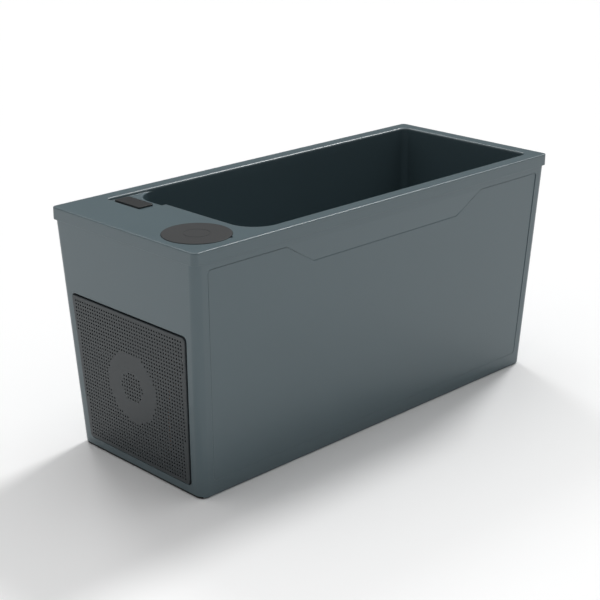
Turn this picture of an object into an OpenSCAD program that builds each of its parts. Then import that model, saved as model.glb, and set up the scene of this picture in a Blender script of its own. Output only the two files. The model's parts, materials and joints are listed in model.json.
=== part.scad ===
// Cold plunge tub: an insulated basin in a tapered moulded shell, with a chiller under its deck.
// X runs along the tub, with the deck and the machine bay at the -X end. Z is up.
// The origin is on the floor, under the middle of the tub.

/* [Body] */
// Overall length, at the lip
body_l = 1720; // [1640:5:1900]
// Overall width, at the lip
body_w = 710; // [690:5:800]
// Overall height
body_h = 836; // [826:2:900]
// Height of the lip round the top
lip_h = 41; // [34:1:50]
// How far the lip stands out from the shell
lip_over = 3.8; // [3.4:0.1:6]
// Corner radius of the lip in plan
lip_r = 19; // [14:1:30]
// Radius along the lip's and the basin's top edges
edge_r = 4; // [2:0.5:5]
// How far the foot of the deck end lies inside the lip
deck_end_in = 46.3; // [40:0.1:52]
// How far the foot of the basin end lies inside the lip
basin_end_in = 36.2; // [30:0.1:42]
// How far the foot of each long side lies inside the lip
side_in = 46.05; // [42:0.05:50]
// Upright corner radius of the shell
shell_r = 30; // [24:1:36]
// Wall of the shell
shell_t = 8; // [7:0.5:9]
// Height of the toe gap under the deck end
toe_gap_h = 9; // [7:0.5:9.5]

/* [Side panels] */
// Distance of the recessed panel from the shell's upright edges
panel_margin = 51; // [45:1:60]
// Height of the panel's lower edge
panel_z = 54; // [45:1:80]
// Distance from the lip down to the panel's upper edge
panel_drop = 22; // [16:1:30]
// Depth of the panel at its upper edge
panel_depth = 2; // [1.5:0.1:2.5]
// Depth of the panel at its lower edge
panel_foot_depth = 0.6; // [0.5:0.1:1.4]
// Corner radius of the panel
panel_r = 14; // [8:1:20]
// Length of the scoop at its upper edge
scoop_l = 958; // [900:2:1000]
// Length of the scoop at its lower edge
scoop_foot_l = 705; // [640:1:760]
// Height of the scoop
scoop_h = 74; // [60:1:90]
// Depth of the scoop at its lower edge
scoop_depth = 4; // [3.5:0.1:5]

/* [Basin] */
// Width of the rim beside and behind the basin
rim_w = 56; // [52:1:64]
// Length of the deck
deck_l = 285; // [280:1:300]
// Height of the basin's floor over the ground
floor_h = 136; // [132:1:176]
// Plan radius of the basin's two corners at the deck
deck_corner_r = 98; // [90:1:104]
// Plan radius of the basin's other two corners
far_corner_r = 26; // [24:1:40]
// How much the basin's walls close in, for each unit of depth
draft_share = 0.026; // [0.018:0.001:0.03]
// Radius between the basin's walls and its floor
floor_r = 60; // [45:1:70]
// Wall of the basin
liner_t = 6; // [5:0.5:7]
// Thickness of the deck and the rim
deck_t = 6.5; // [6:0.5:8]
// Thickness of the lip's skirt
skirt_t = 4; // [3:0.5:4.5]

/* [Control pocket] */
// Length of the pocket along the tub
pocket_l = 100; // [90:1:110]
// Width of the pocket
pocket_w = 184; // [170:1:196]
// Depth of the pocket under the deck
pocket_d = 9.5; // [9:0.5:11]
// Inner corner radius of the pocket
pocket_r = 12; // [8:1:20]
// Length of the touch tile along the tub
tile_l = 61; // [50:1:70]
// Width of the touch tile
tile_w = 130; // [110:1:140]
// Height of the touch tile over the pocket's floor
tile_h = 6.5; // [5:0.5:8]
// Thickness of the tile's glass
glass_t = 1.2; // [1:0.1:2]

/* [Filter] */
// Diameter of the filter lid
lid_d = 219; // [212:1:222]
// Thickness of the filter lid
lid_t = 8; // [7:0.5:10]
// How far the lid stands over the deck
lid_proud = 2; // [1:0.5:3]
// Distance of the lid's centre from the tub's deck end
lid_from_end = 140; // [134:1:146]
// Distance of the lid's centre from the tub's side
lid_from_side = 150; // [147:1:159]
// Diameter of the finger notch beside the lid
notch_d = 16; // [12:1:20]
// Diameter of the filter housing
housing_d = 180; // [172:1:184]
// Height of the filter housing
housing_h = 300; // [290:1:306]
// Diameter of the filter cartridge
cartridge_d = 150; // [140:1:156]
// Height of the filter cartridge
cartridge_h = 236; // [220:1:240]
// Pleats round the filter cartridge
pleat_n = 40; // [30:1:48]

/* [Grille] */
// Distance of the grille opening from the shell's edges
grille_margin = 50; // [46:1:56]
// Height of the opening's lower edge
grille_z0 = 35; // [32:1:45]
// Height of the opening's upper edge
grille_z1 = 554; // [530:1:570]
// Corner radius of the opening
grille_r = 16; // [12:1:22]
// Gap between the grille panel and the opening
grille_gap = 4; // [3:0.5:5]
// How far the grille panel stands out from the wall
grille_proud = 4; // [2:0.5:6]
// Thickness of the perforated metal
sheet_t = 2; // [1.5:0.25:2.5]
// Depth of the opening in front of its ledge
ledge_d = 14; // [13:0.5:16]
// Width of the ledge
ledge_w = 24; // [23:1:26]
// Diameter of one perforation
hole_d = 12.8; // [10:0.2:14]
// Distance between perforations
hole_pitch = 25.2; // [24:0.2:28]
// Plain border outside the perforations
hole_border = 17; // [15:1:24]
// Outer diameter of the plain ring in the middle
ring_d = 235; // [200:1:250]
// Inner diameter of the plain ring
ring_bore_d = 110; // [90:1:130]
// Height of the ring's centre over the floor
ring_z = 299; // [280:1:320]
// Height of the lower pair of studs
stud_z0 = 110; // [90:1:160]
// Height of the upper pair of studs
stud_z1 = 470; // [430:1:490]
// Diameter of a stud
stud_d = 8; // [6:0.5:8]

/* [Frame and bay] */
// Thickness of the glide pads and of the shell's bottom flange
pad_h = 10; // [10:0.5:12]
// Width of the shell's bottom flange
flange_w = 34; // [30:1:38]
// Height of the frame's tubes
tube_h = 30; // [28:1:30]
// Width of the frame's tubes
tube_w = 40; // [36:1:44]
// Wall of the frame's tubes
tube_t = 2.5; // [2:0.5:3]
// Distance from the basin's end to the bulkhead
bulkhead_off = 13; // [12:0.5:15]
// Thickness of the bulkhead and the base pan
plate_t = 3; // [2:0.5:4]
// Diameter of the water pipes
pipe_d = 32; // [28:1:34]
// Wall of the water pipes
pipe_t = 3; // [2:0.5:4]
// Diameter of the refrigerant lines
line_d = 10; // [8:0.5:12]

/* [Chiller] */
// Width and height of the condenser
cond_w = 320; // [300:2:330]
// Depth of the condenser
cond_t = 40; // [34:1:44]
// Diameter of the fan's opening
fan_d = 288; // [260:2:290]
// Blades of the fan
blade_n = 5; // [3:1:7]
// Diameter of the compressor
comp_d = 130; // [120:1:136]
// Height of the compressor
comp_h = 210; // [190:1:215]
// Diameter of the heat exchanger
hx_d = 100; // [90:1:104]
// Length of the heat exchanger
hx_l = 285; // [270:1:290]
// Diameter of the pump's motor
pump_d = 84; // [76:1:88]
// Length of the pump
pump_l = 190; // [170:1:200]
// Width of the control box
box_w = 200; // [180:1:210]
// Height of the control box
box_h = 140; // [120:1:150]
// Depth of the control box
box_t = 60; // [50:1:66]

/* [Drain] */
// Width of the niche in the basin end
niche_w = 140; // [120:1:160]
// Height of the niche
niche_h = 90; // [86:1:100]
// Depth of the niche, at its floor
niche_d = 62; // [60:1:66]
// Diameter of the drain pipe
drain_d = 28; // [24:1:30]
// Outer diameter of the hose spigot
spigot_d = 26; // [22:0.5:28]
// Bore of the hose spigot
spigot_bore = 20; // [16:0.5:20]
// Width of the drain handle
handle_w = 36; // [30:1:38]

/* [Hidden] */

// Overrun of every cut past the surface that it opens
over = 2;
// Clearance between pieces that are seated, and between pieces that move
seat_gap = 0.3;
foam_gap = 0.5;
// Sides of a true round, and steps of a quarter round in an outline
round_n = 48;
quarter_n = 8;
fillet_n = 5;

body_colour = "#69767a";
trim_colour = "#4d5356";
lid_colour = "#4b4c4d";
black = "#1c1e1f";
steel = "#b9bdc0";
copper = "#b87333";

lip_z = body_h - lip_h;
deck_z = body_h - deck_t;
frame_z = pad_h + tube_h;
bay_z = frame_z + plate_t;

// Outlines

function unit(v) = v / norm(v);

// Points of an arc in plan, from angle a0 to a1
function arc(c, r, a0, a1, n) = [for (i = [0:n]) let (a = a0 + (a1 - a0) * i / n) c + r * [cos(a), sin(a)]];

// The round at p1, between the straight lines to p0 and p2
function corner(p0, p1, p2, r, n) =
  let (
    a = unit(p0 - p1),
    b = unit(p2 - p1),
    half = acos(a * b) / 2,
    c = p1 + unit(a + b) * r / sin(half),
    t0 = p1 + a * r / tan(half) - c,
    t1 = p1 + b * r / tan(half) - c,
    a0 = atan2(t0.y, t0.x),
    turn = (atan2(t1.y, t1.x) - a0 + 900) % 360 - 180
  ) arc(c, r, a0, a0 + turn, n);

// A closed outline whose every corner is rounded by its own radius
function rounded(p, r, n) =
  let (m = len(p)) [for (i = [0:m - 1]) each corner(p[(i + m - 1) % m], p[i], p[(i + 1) % m], r[i], n)];

// A level ring: a rectangle with its own radius at the corners +X+Y, -X+Y, -X-Y and +X-Y
function ring(x0, x1, y0, y1, r, z) = [
  for (p = concat(
    arc([x1 - r[0], y1 - r[0]], r[0], 0, 90, quarter_n),
    arc([x0 + r[1], y1 - r[1]], r[1], 90, 180, quarter_n),
    arc([x0 + r[2], y0 + r[2]], r[2], 180, 270, quarter_n),
    arc([x1 - r[3], y0 + r[3]], r[3], 270, 360, quarter_n)
  )) [p.x, p.y, z]
];

// A solid through a stack of rings that all have as many points
module loft(rings) {
  n = len(rings[0]);
  m = len(rings);
  polyhedron(
    points = [for (r = rings) each r],
    faces = concat(
      [[for (j = [0:n - 1]) j]],
      [for (i = [0:m - 2], j = [0:n - 1]) let (k = (j + 1) % n) [i * n + j, i * n + n + j, i * n + n + k]],
      [for (i = [0:m - 2], j = [0:n - 1]) let (k = (j + 1) % n) [i * n + j, i * n + n + k, i * n + k]],
      [[for (j = [n - 1:-1:0]) (m - 1) * n + j]]
    ),
    convexity = 4
  );
}

// Plain shapes

module tube(d, bore, h) {
  linear_extrude(height = h) difference() {
    circle(d = d, $fn = round_n);
    circle(d = bore, $fn = round_n);
  }
}

// A block whose four upright edges are rounded, centred in plan
module block(size, r) {
  x = size.x / 2;
  y = size.y / 2;
  linear_extrude(height = size.z)
    polygon(rounded([[-x, -y], [x, -y], [x, y], [-x, y]], [r, r, r, r], quarter_n));
}

// Turns the Z axis to the direction d
module along(d) rotate([0, acos(d.z), atan2(d.y, d.x)]) children();

// One bend of a pipe: in along a, out along b, with its corner at p
module bend(p, a, b, d, t, r) {
  c = p - a * r + b * r;
  k = cross(a, b);
  multmatrix([
    [-b.x, a.x, k.x, c.x],
    [-b.y, a.y, k.y, c.y],
    [-b.z, a.z, k.z, c.z],
    [0, 0, 0, 1]
  ]) rotate_extrude(angle = 90, $fn = round_n) translate([r, 0]) difference() {
    circle(d = d, $fn = round_n / 2);
    circle(d = d - 2 * t, $fn = round_n / 2);
  }
}

// A pipe through the points p, with a bend at each point between
module pipe(p, d, t, r) {
  last = len(p) - 1;
  for (i = [0:last - 1]) {
    a = unit(p[i + 1] - p[i]);
    start = i > 0 ? r : 0;
    end = i < last - 1 ? r : 0;
    translate(p[i] + a * start) along(a) tube(d, d - 2 * t, norm(p[i + 1] - p[i]) - start - end);
  }
  for (i = [1:1:last - 1]) bend(p[i], unit(p[i] - p[i - 1]), unit(p[i + 1] - p[i]), d, t, r);
}

// The shell's outer form: flat walls that lean out up to the lip

// Share of the way down from the lip to the floor
function down_share(z) = max(0, lip_z - z) / lip_z;
function shell_x0(z) = -body_l / 2 + lip_over + (deck_end_in - lip_over) * down_share(z);
function shell_x1(z) = body_l / 2 - lip_over - (basin_end_in - lip_over) * down_share(z);
function shell_y(z) = body_w / 2 - lip_over - (side_in - lip_over) * down_share(z);
function shell_ring(z, d) =
  let (r = max(shell_r - d, edge_r))
    ring(shell_x0(z) + d, shell_x1(z) - d, d - shell_y(z), shell_y(z) - d, [r, r, r, r], z);

deck_end_tilt = atan((deck_end_in - lip_over) / lip_z);
side_tilt = atan((side_in - lip_over) / lip_z);

// Frame of the deck end's wall: X to the right as seen from outside, Y up the wall, Z outward
module on_deck_end() {
  s = sin(deck_end_tilt);
  c = cos(deck_end_tilt);
  multmatrix([[0, -s, -c, shell_x0(0)], [-1, 0, 0, 0], [0, c, -s, 0], [0, 0, 0, 1]]) children();
}

// Frame of the -Y side's wall, in the same way
module on_side() {
  s = sin(side_tilt);
  c = cos(side_tilt);
  multmatrix([[1, 0, 0, 0], [0, -s, -c, -shell_y(0)], [0, c, -s, 0], [0, 0, 0, 1]]) children();
}

// Height up a leaning wall, of a place at the height z
function up_end(z) = z / cos(deck_end_tilt);
function up_side(z) = z / cos(side_tilt);

// Side panel and scoop, drawn from the panel's upper edge

panel_top = up_side(lip_z - panel_drop);
panel_run = panel_top - up_side(panel_z);
panel_fade = asin((panel_depth - panel_foot_depth) / panel_run);
panel_top_z = lip_z - panel_drop;
scoop_blend_r = panel_r / 2;

function panel_outline() =
  let (
    low_l = shell_x0(panel_z) + panel_margin,
    low_r = shell_x1(panel_z) - panel_margin,
    top_l = shell_x0(panel_top_z) + panel_margin,
    top_r = shell_x1(panel_top_z) - panel_margin
  ) rounded(
    [
      [low_l, -panel_run], [low_r, -panel_run], [top_r, 0], [scoop_l / 2, 0],
      [scoop_foot_l / 2, -scoop_h], [-scoop_foot_l / 2, -scoop_h], [-scoop_l / 2, 0], [top_l, 0]
    ],
    [
      panel_r, panel_r, panel_r, panel_r,
      scoop_blend_r, scoop_blend_r, panel_r, panel_r
    ],
    quarter_n
  );

module on_panel() on_side() translate([0, panel_top, -panel_depth]) rotate([-panel_fade, 0, 0]) children();

module panel_cut() {
  on_panel() linear_extrude(height = panel_depth + over) polygon(panel_outline());
  on_side() translate([0, panel_top, 0]) rotate([atan(scoop_depth / scoop_h), 0, 0])
    linear_extrude(height = scoop_depth + over) polygon([
      [-scoop_l / 2, 0], [-scoop_foot_l / 2, -scoop_h], [scoop_foot_l / 2, -scoop_h], [scoop_l / 2, 0]
    ]);
}

// Grille opening, whose outline is drawn a distance d inside the opening

function grille_half(z) = shell_y(z) - grille_margin;
function grille_outline(d) =
  let (
    v0 = up_end(grille_z0) + d,
    v1 = up_end(grille_z1) - d,
    h0 = grille_half(grille_z0) - d,
    h1 = grille_half(grille_z1) - d,
    r = grille_r - d
  ) rounded([[-h0, v0], [h0, v0], [h1, v1], [-h1, v1]], [r, r, r, r], quarter_n);

// Inner edge of the ledge, with the opening's own corner radius
function ledge_bore() =
  let (
    v0 = up_end(grille_z0) + ledge_w,
    v1 = up_end(grille_z1) - ledge_w,
    h0 = grille_half(grille_z0) - ledge_w,
    h1 = grille_half(grille_z1) - ledge_w,
    r = grille_r
  ) rounded([[-h0, v0], [h0, v0], [h1, v1], [-h1, v1]], [r, r, r, r], quarter_n);

ledge_t = 5;
surround_t = 6;
stud_in = ledge_w / 2 + grille_gap / 2 + sheet_t / 2;
stud_places = [
  for (z = [stud_z0, stud_z1], side = [-1, 1]) [side * (grille_half(z) - stud_in), up_end(z)]
];
socket_d = 16;
socket_neck_d = 13;
socket_head = 3;

// Drain niche, in the basin end

niche_t = 4;
niche_z = frame_z - niche_t * 2;
niche_x = shell_x1(niche_z) - niche_d;
drain_z = niche_z + niche_h / 2;

module niche_block(grow) {
  translate([niche_x - grow, -niche_w / 2 - grow, niche_z - grow])
    cube([niche_d + rim_w + grow, niche_w + grow * 2, niche_h + grow * 2]);
}

// Power inlet, on the far side of the bay

inlet_x = shell_x0(0) + shell_r * 4;
inlet_z = 150;
inlet_w = 48;
inlet_h = 28;
inlet_r = 4;
inlet_depth = 34;
inlet_flange = 9;
inlet_flange_t = 2.5;

module on_inlet()
  mirror([0, 1, 0]) on_panel() translate([inlet_x, up_side(inlet_z) - panel_top, 0]) children();

// Screws up through the shell's bottom flange into the frame

screw_d = 8;
screw_head_d = 15;
screw_head_h = 5;
cross_shares = [0.03, 0.155, 0.38, 0.62, 0.82, 0.93];
frame_x0 = shell_x0(0) + shell_t + flange_w / 2;
frame_x1 = shell_x1(0) - shell_t - flange_w / 2;
function cross_x(share) = frame_x0 + (frame_x1 - frame_x0) * share;
screw_y = shell_y(0) - shell_t - flange_w / 2;
screw_places = [
  for (i = [1:len(cross_shares) - 2], side = [-1, 1]) [cross_x(cross_shares[i]), side * screw_y, 0]
];

module outer_shell() color(body_colour) difference() {
  union() {
    difference() {
      loft(concat(
        [for (i = [0:fillet_n]) let (a = 90 * i / fillet_n)
          shell_ring(edge_r * (1 - cos(a)), edge_r * (1 - sin(a)))],
        [shell_ring(lip_z, 0), shell_ring(lip_z, skirt_t + seat_gap - lip_over),
         shell_ring(deck_z, skirt_t + seat_gap - lip_over)]
      ));
      loft([shell_ring(pad_h, shell_t), shell_ring(lip_z, shell_t), shell_ring(deck_z + over, shell_t)]);
      loft([shell_ring(-over, shell_t + flange_w), shell_ring(pad_h + over, shell_t + flange_w)]);
    }
    // Return wall and ledge behind the grille opening
    on_deck_end() translate([0, 0, -ledge_d - ledge_t])
      linear_extrude(height = ledge_d + ledge_t - shell_t / 2)
      difference() {
        polygon(grille_outline(-surround_t));
        polygon(ledge_bore());
      }
    intersection() {
      niche_block(niche_t);
      loft([shell_ring(edge_r, 0), shell_ring(lip_z, 0)]);
    }
  }
  on_deck_end() translate([0, 0, -ledge_d])
    linear_extrude(height = ledge_d + over) polygon(grille_outline(0));
  for (p = stud_places)
    on_deck_end() translate([p.x, p.y, -ledge_d - ledge_t - over])
      cylinder(d = socket_neck_d + seat_gap * 2, h = ledge_t + over * 2, $fn = round_n);
  panel_cut();
  mirror([0, 1, 0]) panel_cut();
  niche_block(0);
  translate([niche_x - niche_t - over, 0, drain_z]) rotate([0, 90, 0])
    cylinder(d = drain_d + foam_gap * 2, h = niche_t + over * 2, $fn = round_n);
  // Toe gap, and the flange left out behind it
  translate([shell_x0(0) + shell_t, shell_r - shell_y(0), -over])
    cube([flange_w, (shell_y(0) - shell_r) * 2, pad_h + over * 2]);
  translate([shell_x0(0) - over, shell_r - shell_y(0), -over])
    cube([shell_t + flange_w + over * 2, (shell_y(0) - shell_r) * 2, toe_gap_h + over]);
  on_inlet() translate([0, 0, -shell_t - over])
    block([inlet_w + seat_gap * 2, inlet_h + seat_gap * 2, shell_t + over * 2], inlet_r);
  for (p = screw_places) translate(p) {
    translate([0, 0, -over])
      cylinder(d = screw_head_d + foam_gap * 2, h = screw_head_h + over, $fn = round_n);
    cylinder(d = screw_d + foam_gap * 2, h = pad_h + over, $fn = round_n);
  }
}

// Basin: rings of its wall at the height z, moved outward by out and inward by f for the floor's round

basin_x0 = deck_l - body_l / 2;
basin_x1 = body_l / 2 - rim_w;
basin_y = body_w / 2 - rim_w;
floor_z = floor_h;

function basin_ring(z, out, f) =
  let (
    g = out - f - draft_share * max(0, body_h - z),
    rd = deck_corner_r + out - f / 2,
    rf = far_corner_r + out
  ) ring(basin_x0 - g, basin_x1 + g, -basin_y - g, basin_y + g, [rf, rd, rd, rf], z);

// The bowl from its floor up to its walls, with its wall line moved outward by out
function bowl_rings(out) = [
  for (i = [0:quarter_n])
    let (a = 90 * i / quarter_n, r = floor_r + out)
      basin_ring(floor_z - out + r * (1 - cos(a)), out, r * (1 - sin(a)))
];

// Rounded top edge of an opening at the height z: the rings flare out as they reach it
function flare(a) = edge_r * (1 - cos(a));
function rise(a) = edge_r * sin(a);

pocket_x0 = basin_x0 - pocket_l;
pocket_x1 = basin_x0 + deck_corner_r + pocket_r * 2;
pocket_y = basin_y - pocket_w;
pocket_z = body_h - pocket_d;
function pocket_ring(z, out) =
  let (r = pocket_r + out)
    ring(pocket_x0 - out, pocket_x1 + out, pocket_y - out, basin_y + out, [r, r, r, r], z);

lid_x = lid_from_end - body_l / 2;
lid_y = lid_from_side - body_w / 2;
lid_at = [lid_x, lid_y, 0];
gasket_t = 2;
lid_seat_w = 14;
lid_bore = lid_d - lid_seat_w * 2;
lid_z = body_h + lid_proud - lid_t;
lid_seat_z = lid_z - gasket_t;
boss_t = 8;
boss_wall = 7;
boss_z = lid_seat_z - boss_t;
notch_angle = -63;
notch_depth = 5;
lid_groove_d = 82;

suction_off = 60;
suction_h = 124;
suction_at = [basin_x0, -suction_off, floor_z + suction_h];
nozzle_d = 70;
nozzle_in = 16;
nozzle_drop = 196;
return_at = [basin_x0, basin_y - deck_corner_r - nozzle_in - nozzle_d / 2, body_h - nozzle_drop];
tail_d = 36;
drain_in = 154;
drain_at = [basin_x1 - drain_in, 0, floor_z];
drain_tail_d = 50;
drain_flange_d = 90;
drain_flange_t = 3;

module basin_liner() color(body_colour) difference() {
  union() {
    difference() {
      loft(concat(
        [lip_ring(lip_z, 0)],
        [for (i = [0:fillet_n]) let (a = 90 * i / fillet_n) lip_ring(body_h - edge_r + rise(a), flare(a))]
      ));
      loft([lip_ring(lip_z - over, skirt_t), lip_ring(deck_z, skirt_t)]);
    }
    loft(concat(bowl_rings(liner_t), [basin_ring(deck_z + deck_t / 2, liner_t, 0)]));
    loft([pocket_ring(pocket_z - liner_t, liner_t), pocket_ring(deck_z + deck_t / 2, liner_t)]);
    translate([lid_at.x, lid_at.y, boss_z])
      cylinder(d = lid_d + boss_wall * 2, h = deck_z + deck_t / 2 - boss_z, $fn = round_n * 2);
  }
  loft(concat(
    bowl_rings(0),
    [for (i = [0:fillet_n]) let (a = 90 * i / fillet_n) basin_ring(body_h - edge_r + rise(a), flare(a), 0)],
    [basin_ring(body_h + over, edge_r, 0)]
  ));
  loft(concat(
    [pocket_ring(pocket_z, 0)],
    [for (i = [0:fillet_n]) let (a = 90 * i / fillet_n) pocket_ring(body_h - edge_r + rise(a), flare(a))],
    [pocket_ring(body_h + over, edge_r)]
  ));
  // Round where the pocket's floor meets the basin's wall
  intersection() {
    loft(concat(
      [for (i = [0:fillet_n])
        let (a = 90 * i / fillet_n) basin_ring(pocket_z - edge_r + rise(a), flare(a), 0)],
      [basin_ring(pocket_z + over, edge_r, 0)]
    ));
    translate([pocket_x0, pocket_y, pocket_z - edge_r * 2])
      cube([pocket_l + deck_corner_r, pocket_w, edge_r * 2 + over]);
  }
  translate(lid_at) {
    translate([0, 0, lid_seat_z]) cylinder(d = lid_d + seat_gap * 2, h = body_h, $fn = round_n * 2);
    cylinder(d = lid_bore, h = body_h, $fn = round_n * 2);
    rotate([0, 0, notch_angle]) translate([lid_d / 2, 0, body_h - notch_depth])
      cylinder(d = notch_d, h = notch_depth + over, $fn = round_n);
  }
  translate([tile_at.x, tile_at.y, pocket_z - liner_t - over])
    cylinder(d = spigot_tile_d + seat_gap * 2, h = liner_t + over * 2, $fn = round_n);
  for (p = [suction_at, return_at])
    translate(p - [liner_t * 2, 0, 0]) rotate([0, 90, 0])
      cylinder(d = tail_d + seat_gap * 2, h = liner_t * 6, $fn = round_n);
  translate(drain_at - [0, 0, liner_t + over])
    cylinder(d = drain_tail_d + seat_gap * 2, h = liner_t + over * 2, $fn = round_n);
}

function lip_ring(z, d) =
  let (r = lip_r - d, x = body_l / 2 - d, y = body_w / 2 - d) ring(-x, x, -y, y, [r, r, r, r], z);

bulkhead_x = basin_x0 - bulkhead_off - plate_t;
deck_clear = 5;
bulkhead_top = pocket_z - liner_t - deck_clear;
foam_x = bulkhead_x + plate_t + foam_gap;
foam_top = bulkhead_top;
foam_z = frame_z + seat_gap;

module foam_jacket() color("#d9cf9e") difference() {
  loft([shell_ring(foam_z, shell_t + foam_gap), shell_ring(foam_top, shell_t + foam_gap)]);
  loft(concat(bowl_rings(liner_t + foam_gap), [basin_ring(body_h, liner_t + foam_gap, 0)]));
  translate([-body_l, -body_w, 0]) cube([body_l + foam_x, body_w * 2, body_h]);
  niche_block(niche_t + foam_gap);
  for (p = [suction_at, return_at])
    translate([foam_x - over, p.y, p.z]) rotate([0, 90, 0])
      cylinder(d = nut_d + foam_gap * 2, h = bulkhead_off * 3, $fn = round_n);
  translate([drain_at.x, 0, foam_z - over])
    cylinder(d = nut_big_d + foam_gap * 2, h = floor_z, $fn = round_n);
  translate([drain_at.x, 0, drain_z]) rotate([0, 90, 0])
    cylinder(d = drain_d + foam_gap * 2, h = niche_x - drain_at.x, $fn = round_n);
}

// Frame under the tub

rail_in = 54;
rail_y = screw_y - rail_in;
rail_end = 4;

module frame_tubes(in) {
  x0 = frame_x0 - rail_end;
  x1 = frame_x1 + rail_end;
  // The hollow runs out at the ends of the rails
  run = in > 0 ? over : 0;
  for (side = [-1, 1])
    translate([x0 - run, side * rail_y - tube_w / 2 + in, pad_h + in])
      cube([x1 - x0 + run * 2, tube_w - in * 2, tube_h - in * 2]);
  for (s = cross_shares) {
    at_end = s == cross_shares[0] || s == cross_shares[len(cross_shares) - 1];
    reach = at_end ? rail_y : screw_y + screw_head_d;
    translate([cross_x(s) - tube_w / 2 + in, in - reach, pad_h + in])
      cube([tube_w - in * 2, reach * 2 - in * 2, tube_h - in * 2]);
  }
}

module base_frame() color(black) difference() {
  frame_tubes(0);
  frame_tubes(tube_t);
  for (p = screw_places) translate([p.x, p.y, pad_h - over])
    cylinder(d = screw_d + seat_gap, h = tube_t + over * 2, $fn = round_n);
}

pad_d = 50;

module glide_pads() color(black)
  for (i = [0, 2, 3, 5], side = [-1, 1])
    translate([cross_x(cross_shares[i]), side * rail_y, 0]) difference() {
      rotate_extrude($fn = round_n) polygon([
        [0, 0], [pad_d / 2 - over, 0], [pad_d / 2, over], [pad_d / 2 - over, pad_h], [0, pad_h]
      ]);
      translate([0, 0, -over]) cylinder(d = screw_head_d, h = screw_head_h + over, $fn = round_n);
    }

module shell_screws() color(steel)
  for (p = screw_places) translate(p) {
    cylinder(d = screw_head_d, h = screw_head_h, $fn = round_n);
    cylinder(d = screw_d, h = pad_h + tube_t * 3, $fn = round_n);
  }

pan_rim = 16;
pan_gap = 8;
pan_x0 = shell_x0(frame_z) + ledge_d + ledge_t + foam_gap;
pan_x1 = bulkhead_x - foam_gap;
pan_y = shell_y(0) - shell_t - pan_gap;

module base_pan() color(black)
  translate([(pan_x0 + pan_x1) / 2, 0, frame_z]) difference() {
    block([pan_x1 - pan_x0, pan_y * 2, pan_rim], shell_r);
    translate([0, 0, plate_t])
      block([pan_x1 - pan_x0 - plate_t * 2, (pan_y - plate_t) * 2, pan_rim], shell_r - plate_t);
  }

clamp_w = 24;
clamp_share = 0.3;
window_w = 60;

module bulkhead() color(steel) difference() {
  union() {
    translate([bulkhead_x, 0, 0]) rotate([90, 0, 90]) linear_extrude(height = plate_t) polygon([
      [-bulkhead_half(frame_z), frame_z], [bulkhead_half(frame_z), frame_z],
      [bulkhead_half(lip_z), lip_z], [bulkhead_half(lip_z), bulkhead_top],
      [-bulkhead_half(lip_z), bulkhead_top], [-bulkhead_half(lip_z), lip_z]
    ]);
    // Two saddles that carry the heat exchanger
    for (side = [-1, 1])
      translate([hx_x, hx_mid + side * hx_l * clamp_share - clamp_w / 2, hx_z - hx_d / 2])
        cube([bulkhead_x - hx_x + plate_t / 2, clamp_w, hx_d / 2]);
  }
  translate([hx_x, hx_y0 - over, hx_z]) rotate([-90, 0, 0])
    cylinder(d = hx_d, h = hx_l + over * 2, $fn = round_n);
  for (p = [suction_at, return_at])
    translate([bulkhead_x - over, p.y - window_w / 2, p.z - window_w / 2])
      cube([plate_t + over * 2, window_w, window_w]);
}

function bulkhead_half(z) = shell_y(z) - shell_t - foam_gap;

// Grille: a formed sheet-metal tray, perforated on a square grid

tray_d = grille_proud + ledge_d - seat_gap;
holes_u = ceil((grille_half(grille_z1) - hole_border) / hole_pitch);
holes_v = ceil((grille_z1 - grille_z0) / hole_pitch / 2);

// Whether a hole at p keeps to the perforated ground: off the border, the ring and the studs
function perforated(p) =
  let (
    z = p.y * cos(deck_end_tilt),
    rim = hole_border + hole_d / 2 + grille_gap,
    mid = norm([p.x, p.y - up_end(ring_z)])
  )
    abs(p.x) < grille_half(z) - rim && z > grille_z0 + rim && z < grille_z1 - rim
    && (mid > (ring_d + hole_d) / 2 || mid < (ring_bore_d - hole_d) / 2);

module grille_panel() color(trim_colour) on_deck_end() {
  translate([0, 0, grille_proud - tray_d]) linear_extrude(height = tray_d - sheet_t) difference() {
    polygon(grille_outline(grille_gap));
    polygon(grille_outline(grille_gap + sheet_t));
  }
  translate([0, 0, grille_proud - sheet_t]) linear_extrude(height = sheet_t) difference() {
    polygon(grille_outline(grille_gap));
    for (i = [-holes_u:holes_u], j = [-holes_v:holes_v])
      let (p = [i * hole_pitch, up_end((grille_z0 + grille_z1) / 2) + j * hole_pitch])
        if (perforated(p)) translate(p) circle(d = hole_d, $fn = round_n / 2);
  }
}

stud_l = tray_d - sheet_t + ledge_t + socket_head;
stud_tip = 1.5;
stud_foot_d = 14;

module grille_studs() color(steel)
  for (p = stud_places) on_deck_end() translate([p.x, p.y, grille_proud - sheet_t - stud_l])
    rotate_extrude($fn = round_n) polygon([
      [0, 0], [stud_d / 2 - stud_tip, 0], [stud_d / 2, stud_tip], [stud_d / 2, stud_l - sheet_t],
      [stud_foot_d / 2, stud_l - sheet_t], [stud_foot_d / 2, stud_l], [0, stud_l]
    ]);

module grille_sockets() color(black)
  for (p = stud_places) on_deck_end() translate([p.x, p.y, -ledge_d]) difference() {
    rotate_extrude($fn = round_n) polygon([
      [0, -ledge_t - socket_head], [socket_neck_d / 2, -ledge_t - socket_head],
      [socket_neck_d / 2, 0], [socket_d / 2, 0], [socket_d / 2, socket_head], [0, socket_head]
    ]);
    translate([0, 0, -ledge_t - socket_head - over])
      cylinder(d = stud_d + seat_gap * 2, h = ledge_t + socket_head * 2 + over * 2, $fn = round_n);
  }

// Filter: lid, gasket and cartridge lift out of the housing together

lid_edge = 1.5;
groove_w = 2;
groove_d = 0.8;
spigot_h = 8;
spigot_t = 5;
stem_d = 30;
cap_t = 10;
cap_over = 6;
stem_h = 24;
cartridge_z = lid_z - spigot_h - cartridge_h - stem_h;

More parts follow.
